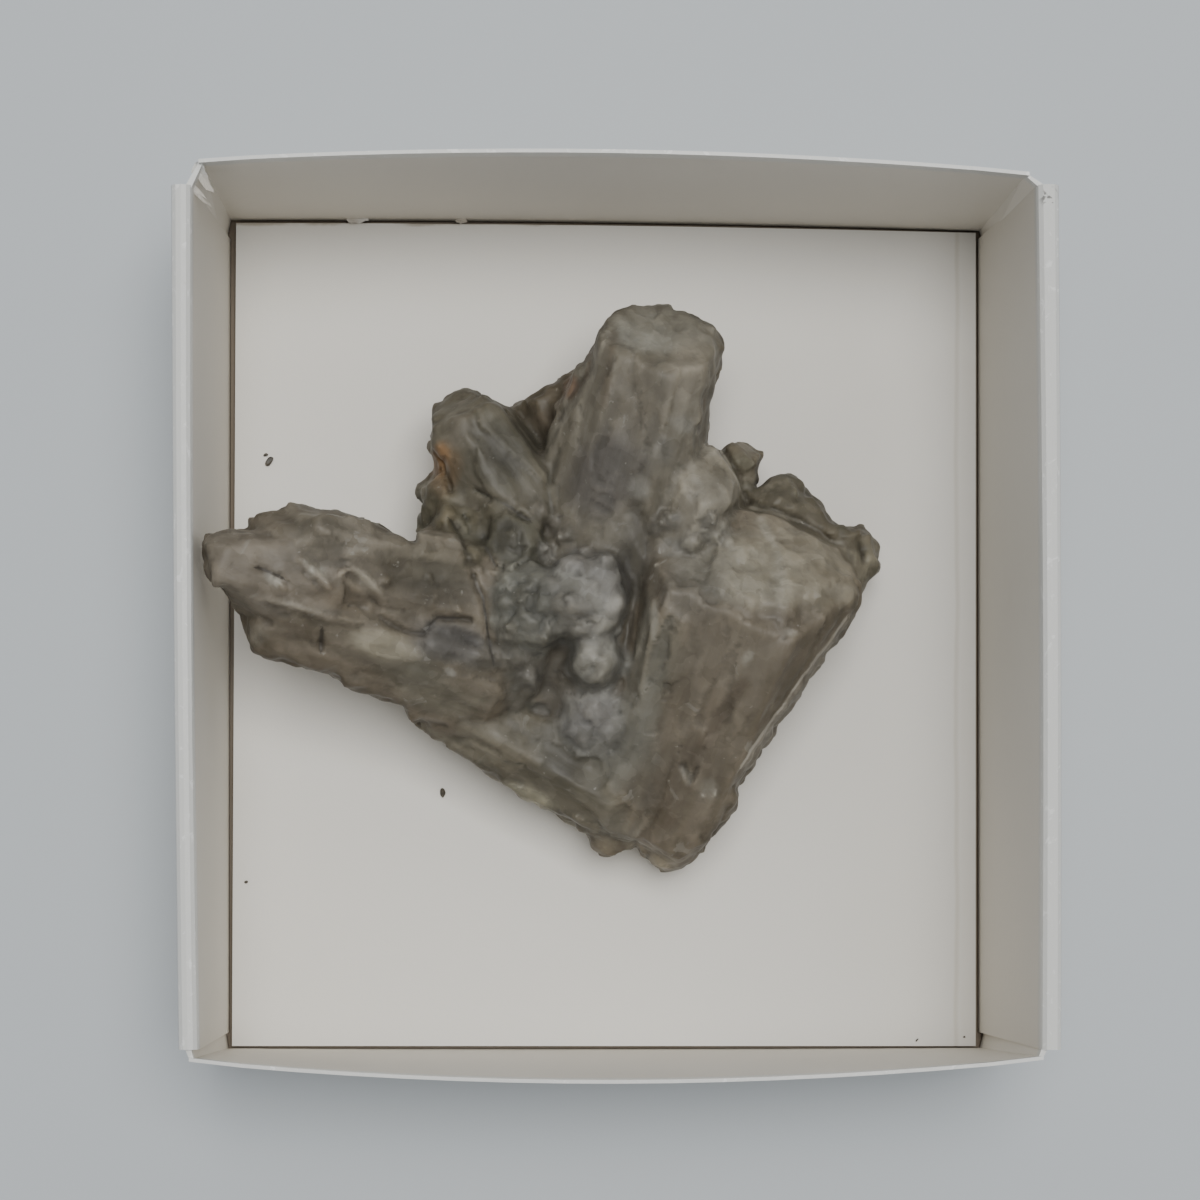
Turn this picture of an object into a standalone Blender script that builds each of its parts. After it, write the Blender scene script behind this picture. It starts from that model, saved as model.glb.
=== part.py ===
"""Aragonite cluster resting in a small folded-card specimen tray.

Three pieces: the cluster (one grown-together solid), the tray (one folded blank) and the loose
card that lines its floor.  Units in the tables are millimetres; the objects are in metres.
+Z is up, +Y is the tray's long way, the origin is under the middle of the tray, on the table.
"""
import bpy
import bmesh
import itertools
import numpy as np
from math import cos, sin, radians, tan, pi, sqrt
from mathutils import Vector

for old in list(bpy.data.objects):
    bpy.data.objects.remove(old, do_unlink=True)

MM = 0.001

# ---- tray ----------------------------------------------------------------------------------
CARD = 0.45            # thickness of the tray's card
RIM = 0.16             # the single-card end walls are pressed thin at their top edge
WALL_H = 16.0          # height of the walls above the table
SIDE_X = 19.35         # outer face of the folded-over side walls, at the table
SIDE_END = 18.85       # the folded-over part stops short of the corners
# side walls, one row each: inner face at the floor (south, north), inner and outer face at the
# rim (south, north): the west one leans in a little at its south end, the east one leans out
SIDES = {-1: ((18.27, 18.18), (18.06, 18.36), (18.96, 19.28)),
         1: ((18.08, 18.05), (18.68, 18.50), (19.60, 19.50))}
# end walls, north and south: inner face at the floor (west, east) and how late it drops, at the rim
# (west, east, middle), and where they turn into their corner tabs: at the floor and the rim (west, east)
NORTH = ((20.17, 19.64), 2.0, (19.78, 19.22, 20.20), (18.12, 18.06), (17.86, 17.96))
SOUTH = ((20.06, 20.02), 1.0, (19.20, 19.12, 20.16), (18.24, 18.08), (18.28, 18.58))
LINER_BOTTOM = 0.75    # the lining card lies on the base
LINER_TOP = 1.15

# ---- where a point seen from straight above lies ------------------------------------------------
EYE_Z, EYE_X, EYE_Y = 148.6, -3.17, -7.97     # eye point over the tray
FOCAL, MID_X, MID_Y = 3046.0, 540.0, 800.0    # top-view units


def seen(px, py, z):
    """The point at height z that the straight-down view shows at (px, py)."""
    s = (EYE_Z - z) / FOCAL
    return np.array([(px - MID_X) * s + EYE_X, (MID_Y - py) * s + EYE_Y, z])


# ---- crystals --------------------------------------------------------------------------------------
# name, root end (px, py, z), free end (px, py, z), half widths (px), half thicknesses (mm),
# roll, number of prism faces, seed, bevel at the root, bevel at the free end, irregularity,
# tilt of the root plane, tilt of the free end plane (degrees, across and up)
CRYSTALS = [
    # grown-together middle of the cluster
    ("core_west", (470, 640, 6.0), (640, 640, 6.4), (70, 85), (3.6, 4.2), 22, 8, 1, .6, .6, .05, (0, 0), (0, 0)),
    ("core_north", (600, 640, 6.4), (600, 480, 6.0), (80, 62), (4.0, 3.8), 22, 8, 2, .6, .6, .05, (0, 0), (0, 0)),
    ("core_east", (610, 640, 6.0), (790, 600, 5.6), (85, 60), (4.0, 3.0), 22, 8, 3, .6, .6, .05, (0, 0), (0, 0)),
    ("core_south", (600, 640, 6.0), (600, 780, 5.0), (80, 46), (3.8, 3.0), 22, 8, 4, .6, .6, .05, (0, 0), (0, 0)),
    # north column and what leans on it
    ("north", (604, 566, 6.4), (666, 325, 10.6), (74, 58), (4.0, 3.1), 10, 8, 11, 0, .40, .04, (0, 0), (-4, 20)),
    ("north_left", (583, 470, 7.4), (620, 336, 9.0), (32, 19), (2.6, 2.0), 8, 6, 12, 0, .3, .05, (0, 0), (0, 0)),
    ("north_low", (604, 478, 5.0), (549, 384, 5.4), (56, 50), (2.6, 2.2), 20, 6, 13, 0, .15, .04, (0, 0), (0, 0)),
    ("nw", (534, 524, 7.8), (454, 403, 8.6), (40, 37), (2.9, 2.3), 12, 6, 14, 0, .40, .04, (0, 0), (8, 15)),
    ("nw_side", (505, 520, 6.0), (439, 440, 6.6), (40, 22), (2.6, 2.2), 0, 6, 15, 0, .3, .05, (0, 0), (0, 0)),
    # greenish knobs west of the middle
    ("green_a", (520, 548, 7.4), (431, 488, 7.6), (38, 25), (2.8, 2.4), 12, 6, 16, 0, .35, .06, (0, 0), (0, 0)),
    ("green_b", (505, 590, 7.4), (434, 520, 8.2), (46, 26), (2.9, 2.6), 0, 6, 17, 0, .3, .06, (0, 0), (0, 0)),
    ("green_hex", (514, 560, 8.0), (512, 541, 11.3), (27, 24), (1.4, 1.25), 20, 6, 18, 0, .25, .05, (0, 0), (0, 0)),
    # west arm, a broad blade reaching up to the rim of the tray
    ("arm_main", (492, 636, 7.6), (247, 574, 12.8), (86, 56), (3.3, 2.3), 6, 8, 20, .3, .40, .04, (0, 0), (0, 8)),
    ("arm_top", (490, 604, 8.4), (250, 550, 13.5), (52, 36), (3.0, 2.0), 28, 7, 21, .2, .30, .04, (0, 0), (6, 12)),
    ("arm_ridge", (440, 566, 9.6), (292, 531, 14.0), (27, 23), (2.4, 1.8), 4, 6, 22, .2, .30, .05, (0, 0), (0, 0)),
    ("arm_tip", (330, 586, 12.4), (205, 563, 15.0), (48, 27), (1.9, 1.1), 20, 6, 23, .2, .25, .04, (0, 0), (-6, -14)),
    ("arm_low", (490, 682, 7.2), (249, 622, 12.2), (38, 24), (2.9, 1.9), 18, 6, 24, .2, .30, .05, (0, 0), (5, 10)),
    ("arm_end", (522, 666, 7.4), (392, 634, 11.2), (42, 33), (2.9, 2.2), 5, 6, 25, .3, .30, .05, (0, 0), (0, 20)),
    # south-west flank
    ("flank_a", (622, 796, 5.6), (424, 688, 7.2), (44, 30), (2.8, 2.1), 14, 6, 26, .3, .30, .04, (0, 0), (0, 0)),
    ("flank_b", (650, 800, 4.6), (540, 776, 5.0), (46, 32), (2.7, 2.3), 20, 6, 27, .3, .30, .05, (0, 0), (0, 0)),
    # rounded white growths in the middle
    ("button", (580, 606, 9.0), (588, 592, 13.3), (40, 35), (1.8, 1.6), 5, 9, 31, 0, .55, .05, (0, 0), (0, 0)),
    ("button_low", (592, 662, 8.0), (597, 660, 12.2), (27, 22), (1.1, 1.0), 10, 7, 32, 0, .35, .05, (0, 0), (0, 0)),
    ("knobs", (534, 618, 8.5), (524, 602, 12.3), (38, 33), (1.9, 1.7), 10, 7, 33, 0, .40, .06, (0, 0), (0, 0)),
    ("frosted", (600, 700, 6.0), (592, 720, 9.7), (38, 33), (1.7, 1.5), 10, 7, 34, 0, .40, .06, (0, 0), (0, 0)),
    # broad prism on the right: parallel prisms grown side by side
    ("big_main", (663, 812, 5.0), (754, 553, 10.2), (66, 100), (3.1, 3.8), 30, 6, 40, .25, .40, .03, (0, 0), (0, 26)),
    ("big_left", (618, 818, 5.2), (698, 575, 9.5), (28, 42), (2.8, 3.4), 26, 7, 41, .25, .30, .04, (0, 0), (0, 24)),
    ("big_mid", (664, 836, 5.2), (772, 546, 10.2), (34, 52), (3.0, 3.6), 22, 7, 42, .25, .30, .04, (0, 0), (0, 26)),
    ("big_right", (692, 776, 5.4), (829, 560, 9.5), (28, 34), (2.8, 3.1), 28, 6, 43, .25, .30, .03, (0, 0), (0, 24)),
    ("end_a", (650, 740, 4.8), (603, 850, 5.0), (30, 19), (2.2, 1.8), 0, 6, 44, 0, .35, .05, (0, 0), (0, 0)),
    ("end_b", (668, 740, 4.8), (634, 848, 5.0), (28, 20), (2.2, 1.8), 10, 6, 45, 0, .35, .05, (0, 0), (0, 0)),
    ("end_c", (716, 740, 4.8), (669, 868, 4.8), (36, 28), (2.4, 1.9), 12, 6, 46, 0, .35, .05, (0, 0), (0, 0)),
    ("end_d", (736, 742, 4.2), (714, 818, 4.2), (26, 20), (1.8, 1.5), 0, 6, 47, 0, .35, .05, (0, 0), (0, 0)),
    # smooth lobe between the column and the broad prism
    ("lobe", (664, 570, 7.0), (715, 456, 10.6), (58, 27), (3.4, 2.5), 10, 8, 48, 0, .60, .03, (0, 0), (10, 20)),
    # low crystals behind, north-east
    ("ne_knob", (706, 520, 4.6), (747, 446, 5.4), (34, 22), (2.0, 1.5), 5, 6, 51, 0, .35, .06, (0, 0), (0, 0)),
    ("ne_plate", (690, 530, 4.6), (866, 546, 4.8), (58, 40), (2.4, 1.9), 8, 6, 54, 0, .3, .05, (0, 0), (0, 0)),
    ("ne_low", (750, 600, 4.4), (874, 556, 4.8), (60, 30), (2.8, 2.0), 12, 6, 52, 0, .35, .05, (0, 0), (0, 0)),
    ("ne_back", (740, 570, 4.8), (800, 488, 5.4), (56, 32), (2.4, 1.9), 10, 6, 53, 0, .35, .05, (0, 0), (0, 0)),
    # what the cluster stands on, underneath
    ("foot_south", (650, 760, 5.0), (662, 800, 1.45), (50, 30), (2.6, 1.7), 10, 6, 61, 0, .2, .05, (0, 0), (0, 0)),
    ("foot_east", (790, 590, 4.6), (812, 566, 1.45), (46, 30), (2.2, 1.6), 0, 6, 62, 0, .2, .05, (0, 0), (0, 0)),
    ("foot_north", (560, 460, 5.0), (548, 436, 1.45), (48, 32), (2.3, 1.7), 15, 6, 63, 0, .2, .05, (0, 0), (0, 0)),
    ("foot_west", (470, 660, 6.0), (440, 668, 1.9), (46, 28), (2.4, 1.5), 15, 6, 64, 0, .3, .05, (0, 0), (0, 0)),
]
STONE_BOTTOM = 1.45    # nothing of the cluster reaches below this: 0.3 mm clear of the lining card


# the tabular crystals, whose faces are broader and flatter
TABULAR = ("north", "nw", "arm_main", "arm_top", "arm_low", "big_main", "big_left", "big_mid", "big_right",
           "ne_low", "ne_back", "ne_plate", "flank_a")


def girth(name, w, t, ph):
    """How far from the axis the prism face at angle ph lies."""
    q = 1.5 if name in TABULAR else 2.0
    return (abs(w * np.cos(ph)) ** q + abs(t * np.sin(ph)) ** q) ** (1 / q)


def face_planes(row):
    """Outward planes (normal, offset) that bound one crystal."""
    (name, a, b, w, t, roll, n, seed, bev_a, bev_b, jit, tilt_a, tilt_b) = row
    rnd = np.random.RandomState(seed)
    A, B = seen(*a), seen(*b)
    e = B - A
    length = np.linalg.norm(e)
    e = e / length
    u = np.cross(e, (0.0, 0.0, 1.0))
    if np.linalg.norm(u) < 0.35:
        u = np.cross(e, (0.0, 1.0, 0.0))
    u = u / np.linalg.norm(u)
    v = np.cross(u, e)
    wa, wb = w[0] * (EYE_Z - A[2]) / FOCAL, w[1] * (EYE_Z - B[2]) / FOCAL
    ta, tb = t
    planes, sides = [], []
    for i in range(n):
        ph = radians(roll) + 2 * pi * i / n + rnd.uniform(-1, 1) * jit * 3
        j = 1 + rnd.uniform(-1, 1) * jit
        ca = j * girth(name, wa, ta, ph)
        cb = j * girth(name, wb, tb, ph)
        m = np.cos(ph) * u + np.sin(ph) * v
        nn = m - (cb - ca) / length * e
        planes.append((nn / np.linalg.norm(nn), (nn @ A + ca) / np.linalg.norm(nn)))
        sides.append((m, ca, cb))
    nb = e + tan(radians(tilt_b[0])) * u + tan(radians(tilt_b[1])) * v
    na = -e + tan(radians(tilt_a[0])) * u + tan(radians(tilt_a[1])) * v
    nb, na = nb / np.linalg.norm(nb), na / np.linalg.norm(na)
    planes += [(nb, nb @ B), (na, na @ A)]
    for X, d, bev, k in ((B, e, bev_b, 2), (A, -e, bev_a, 1)):
        if bev <= 0:
            continue
        for side in sides:
            be = radians(35 + rnd.uniform(0, 20))
            nn = np.cos(be) * d + np.sin(be) * side[0]
            q = X + side[0] * (side[k] - bev * (0.6 + 0.8 * rnd.rand()) * min(side[k], 2.2))
            planes.append((nn, nn @ q))
    return planes, (A + B) / 2


def principled(name, colour, rough, trans=0.0):
    mat = bpy.data.materials.new(name)
    mat.use_nodes = True
    p = mat.node_tree.nodes["Principled BSDF"]
    p.inputs["Base Color"].default_value = (*colour, 1)
    p.inputs["Roughness"].default_value = rough
    p.inputs["Metallic"].default_value = 0.0
    p.inputs["Transmission Weight"].default_value = trans
    p.inputs["IOR"].default_value = 1.6 if trans else 1.45
    mat.diffuse_color = (*colour, 1)
    return mat


def mesh_object(name, bm, mat=None):
    me = bpy.data.meshes.new(name)
    bm.to_mesh(me)
    bm.free()
    ob = bpy.data.objects.new(name, me)
    bpy.context.collection.objects.link(ob)
    if mat:
        me.materials.append(mat)
    return ob


def crystal_object(row):
    """A block cut down plane by plane to the crystal."""
    planes, mid = face_planes(row)
    bm = bmesh.new()
    bmesh.ops.create_cube(bm, size=70.0)
    bmesh.ops.translate(bm, verts=bm.verts, vec=Vector(mid))
    planes.append((np.array((0.0, 0.0, -1.0)), -STONE_BOTTOM))
    for n, off in planes:
        got = bmesh.ops.bisect_plane(bm, geom=list(bm.verts) + list(bm.edges) + list(bm.faces), dist=1e-5,
                                     plane_co=Vector(n * off), plane_no=Vector(n), clear_outer=True)
        edges = [g for g in got["geom_cut"] if isinstance(g, bmesh.types.BMEdge)]
        if len(edges) > 2:
            bmesh.ops.edgeloop_fill(bm, edges=edges)
    bmesh.ops.remove_doubles(bm, verts=bm.verts, dist=1e-3)
    bmesh.ops.recalc_face_normals(bm, faces=bm.faces)
    return mesh_object("crystal_" + row[0], bm)


def united(name, parts, mat):
    """Boolean union of the parts, in millimetres, then scaled to metres as one closed body."""
    base = parts[0]
    for other in parts[1:]:
        m = base.modifiers.new(other.name, "BOOLEAN")
        m.operation, m.solver, m.object = "UNION", "EXACT", other
    bpy.context.view_layer.update()
    dg = bpy.context.evaluated_depsgraph_get()
    me = bpy.data.meshes.new_from_object(base.evaluated_get(dg))
    for p in parts:
        bpy.data.objects.remove(p, do_unlink=True)
    bm = bmesh.new()
    bm.from_mesh(me)
    bmesh.ops.remove_doubles(bm, verts=bm.verts, dist=2e-3)
    bmesh.ops.dissolve_degenerate(bm, edges=bm.edges, dist=2e-3)
    # keep the outer skin only: pockets closed on all sides are solid stone
    bm.verts.ensure_lookup_table()
    seen_v, groups = set(), []
    for v in bm.verts:
        if v.index in seen_v:
            continue
        stack, grp = [v], []
        seen_v.add(v.index)
        while stack:
            x = stack.pop()
            grp.append(x)
            for ed in x.link_edges:
                y = ed.other_vert(x)
                if y.index not in seen_v:
                    seen_v.add(y.index)
                    stack.append(y)
        groups.append(grp)
    groups.sort(key=len, reverse=True)
    for grp in groups[1:]:
        bmesh.ops.delete(bm, geom=grp, context="VERTS")
    bmesh.ops.triangulate(bm, faces=bm.faces)
    bmesh.ops.scale(bm, verts=bm.verts, vec=(MM, MM, MM))
    for f in bm.faces:
        f.smooth = False
    ob = mesh_object(name, bm, mat)
    return ob


def loft(name, stations, ladder=False):
    """Closed solid through a list of equal-length section rings; a ladder ring runs out along one
    side and back along the other, point by point."""
    bm = bmesh.new()
    rings = [[bm.verts.new(p) for p in ring] for ring in stations]
    n = len(rings[0])
    for r0, r1 in zip(rings, rings[1:]):
        for i in range(n):
            bm.faces.new((r0[i], r0[(i + 1) % n], r1[(i + 1) % n], r1[i]))
    for ring in (rings[0][::-1], rings[-1]):
        if ladder:
            for i in range(n // 2 - 1):
                bm.faces.new((ring[i], ring[i + 1], ring[n - 2 - i], ring[n - 1 - i]))
        else:
            bm.faces.new(ring)
    bmesh.ops.triangulate(bm, faces=bm.faces)
    bmesh.ops.recalc_face_normals(bm, faces=bm.faces)
    if bm.calc_volume(signed=True) < 0:
        bmesh.ops.reverse_faces(bm, faces=bm.faces)
    return mesh_object(name, bm)


# ---- the tray: one folded blank ------------------------------------------------------------------------
def side_wall(sign):
    """Folded-over wall with a rounded rim."""
    low, inner, outer = SIDES[sign]
    rings = []
    for k in range(9):
        s = k / 8
        bow = 0.12 * sin(pi * s)
        xi0 = low[0] + (low[1] - low[0]) * s
        xi1 = inner[0] + (inner[1] - inner[0]) * s + bow
        xo = outer[0] + (outer[1] - outer[0]) * s + 0.4 * bow
        r = (xo - xi1) / 2
        ring = [(xi0, 0.02), (xi1, WALL_H - r)]
        ring += [(xo - r - r * cos(pi * q / 6), WALL_H - r + r * sin(pi * q / 6)) for q in range(1, 6)]
        ring += [(xo, WALL_H - r), (SIDE_X, 0.02)]
        rings.append([(sign * x, (2 * s - 1) * (SIDE_END + 0.40 * (1 - z / WALL_H)), z) for x, z in ring])
    return loft("side", rings)


def corner_tab(sign_x, sign_y, wall):
    """Tab of the end wall, turned round the corner and tucked into the side wall's fold."""
    low, _, top, base_x, rim_x = wall
    i = (sign_x + 1) // 2
    rings = []
    for z, x, y, hid in ((0.03, base_x[i], low[i] + 0.30, 18.50), (WALL_H - 0.30, rim_x[i], top[i] + 0.10, (18.46, 18.80)[i])):
        t = 0.34 if z < 1 else 0.19
        rings.append([(sign_x * a, sign_y * b, z) for a, b in
                      ((hid, 17.0), (hid, 18.60), (x, y), (x + t, y), (hid + 0.25, 18.72), (hid + 0.25, 17.0))])
    return loft("tab", rings, True)


def end_wall(sign, wall):
    """Single-card wall, its top edge bowed outwards between the held corners."""
    (low_l, low_r), drop, (top_l, top_r, top_m), base_x, rim_x = wall
    rings = []
    for k in range(17):
        s = k / 16
        low = low_l + (low_r - low_l) * s ** drop
        top = top_l + (top_r - top_l) * s + (top_m - (top_l + top_r) / 2) * sin(pi * s) ** 0.8
        inner, outer = [], []
        for q in range(5):
            f = q / 4
            west = -(base_x[0] + 0.33 + (rim_x[0] + 0.18 - base_x[0] - 0.33) * f)
            east = base_x[1] + 0.33 + (rim_x[1] + 0.18 - base_x[1] - 0.33) * f
            x, y, z = west + (east - west) * s, low + (top - low) * f, 0.01 + (WALL_H - 0.01) * f
            inner.append((x, sign * y, z))
            outer.append((x, sign * (y + CARD + (RIM - CARD) * f), z))
        rings.append(inner + outer[::-1])
    return loft("end", rings, True)


def base_plate():
    """Main part of the base panel, between the notched corners."""
    x, y = SIDE_X - 0.02, SIDE_END + 0.37
    return loft("base", [[(-x, -y, z), (x, -y, z), (x, y, z), (-x, y, z)] for z in (0.0, CARD)])


def base_tongue(sign, wall):
    """End of the base panel, running into the end wall."""
    (low_l, low_r), drop, _, base_x, _ = wall
    far, near_row = [], []
    for k in range(9):
        s = k / 8
        x = -base_x[0] - 0.21 + (base_x[0] + base_x[1] + 0.42) * s
        far.append((x, sign * (low_l + (low_r - low_l) * s ** drop + 0.21)))
        near_row.append((x, sign * 18.2))
    return loft("tongue", [[(a, b, z) for a, b in far + near_row[::-1]] for z in (0.0, CARD)], True)


white_card = principled("white_card", (0.72, 0.71, 0.67), 0.45)
liner_card = principled("liner_card", (0.74, 0.73, 0.69), 0.55)
stone_mat = principled("aragonite_stone", (0.30, 0.26, 0.20), 0.35, 0.2)

tray = united("card_tray", [base_plate(), base_tongue(1, NORTH), base_tongue(-1, SOUTH),
                            end_wall(1, NORTH), end_wall(-1, SOUTH),
                            *[corner_tab(i, j, w) for j, w in ((1, NORTH), (-1, SOUTH)) for i in (-1, 1)],
                            side_wall(-1), side_wall(1)], white_card)

# ---- the loose lining card --------------------------------------------------------------------------------
bm = bmesh.new()
outline = [(-18.08, -19.88), (17.92, -19.88)] + [(17.92 - 35.80 * f, 19.96 - 0.48 * (1 - f) ** 2)
                                                 for f in (0, 0.2, 0.4, 0.6, 0.8, 1)]
low = [bm.verts.new((x * MM, y * MM, LINER_BOTTOM * MM)) for x, y in outline]
bottom = bm.faces.new(low[::-1])
got = bmesh.ops.extrude_face_region(bm, geom=[bottom])
bmesh.ops.translate(bm, verts=[g for g in got["geom"] if isinstance(g, bmesh.types.BMVert)],
                    vec=(0, 0, (LINER_TOP - LINER_BOTTOM) * MM))
bmesh.ops.recalc_face_normals(bm, faces=bm.faces)
liner = mesh_object("floor_card", bm, liner_card)

# ---- the cluster ---------------------------------------------------------------------------------------------
stone = united("aragonite", [crystal_object(row) for row in CRYSTALS], stone_mat)
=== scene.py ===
"""Looks for the aragonite cluster in its folded-card tray: the fine surface of the crystals, the
card's finish, the crumbs, the floor, the light and the camera.  Tables are in millimetres."""
import bpy
import bmesh
import numpy as np
from math import radians, tan, pi, sin, cos
from mathutils import Matrix, Vector


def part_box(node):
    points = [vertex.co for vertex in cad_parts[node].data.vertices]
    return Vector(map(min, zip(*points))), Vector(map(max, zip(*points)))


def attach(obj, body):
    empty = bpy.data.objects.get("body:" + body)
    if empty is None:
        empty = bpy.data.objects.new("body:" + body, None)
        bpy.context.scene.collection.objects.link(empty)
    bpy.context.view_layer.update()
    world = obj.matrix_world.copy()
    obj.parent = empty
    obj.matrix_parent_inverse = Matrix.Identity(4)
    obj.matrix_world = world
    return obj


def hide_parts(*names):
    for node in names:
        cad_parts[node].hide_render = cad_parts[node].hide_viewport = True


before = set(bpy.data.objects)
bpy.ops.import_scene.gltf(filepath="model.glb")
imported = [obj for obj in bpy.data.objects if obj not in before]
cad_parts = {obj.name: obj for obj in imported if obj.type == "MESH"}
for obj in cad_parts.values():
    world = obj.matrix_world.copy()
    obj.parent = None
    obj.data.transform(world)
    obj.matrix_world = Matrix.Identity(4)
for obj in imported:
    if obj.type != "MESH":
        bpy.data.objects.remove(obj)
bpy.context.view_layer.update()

MM = 0.001
f32 = np.float32

# ---- camera: straight down, as the photograph was taken ------------------------------------------
EYE_Z, EYE_X, EYE_Y = 148.6, -3.17, -7.97
FOCAL, MID_X, MID_Y = 3046.0, 540.0, 800.0
cam_data = bpy.data.cameras.new("camera")
cam_data.sensor_width = 36.0
cam_data.lens = 36.0 * FOCAL / 1200.0
cam_data.shift_x = (600.0 - MID_X) / 1200.0
cam_data.shift_y = (MID_Y - 600.0) / 1200.0
cam_data.clip_start = 0.01
cam_data.clip_end = 10.0
camera = bpy.data.objects.new("camera", cam_data)
camera.location = (EYE_X * MM, EYE_Y * MM, EYE_Z * MM)
bpy.context.scene.collection.objects.link(camera)
bpy.context.scene.camera = camera


def seen(px, py, z):
    """The point at height z that the straight-down view shows at (px, py)."""
    s = (EYE_Z - z) / FOCAL
    return np.array([(px - MID_X) * s + EYE_X, (MID_Y - py) * s + EYE_Y, z])


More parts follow.
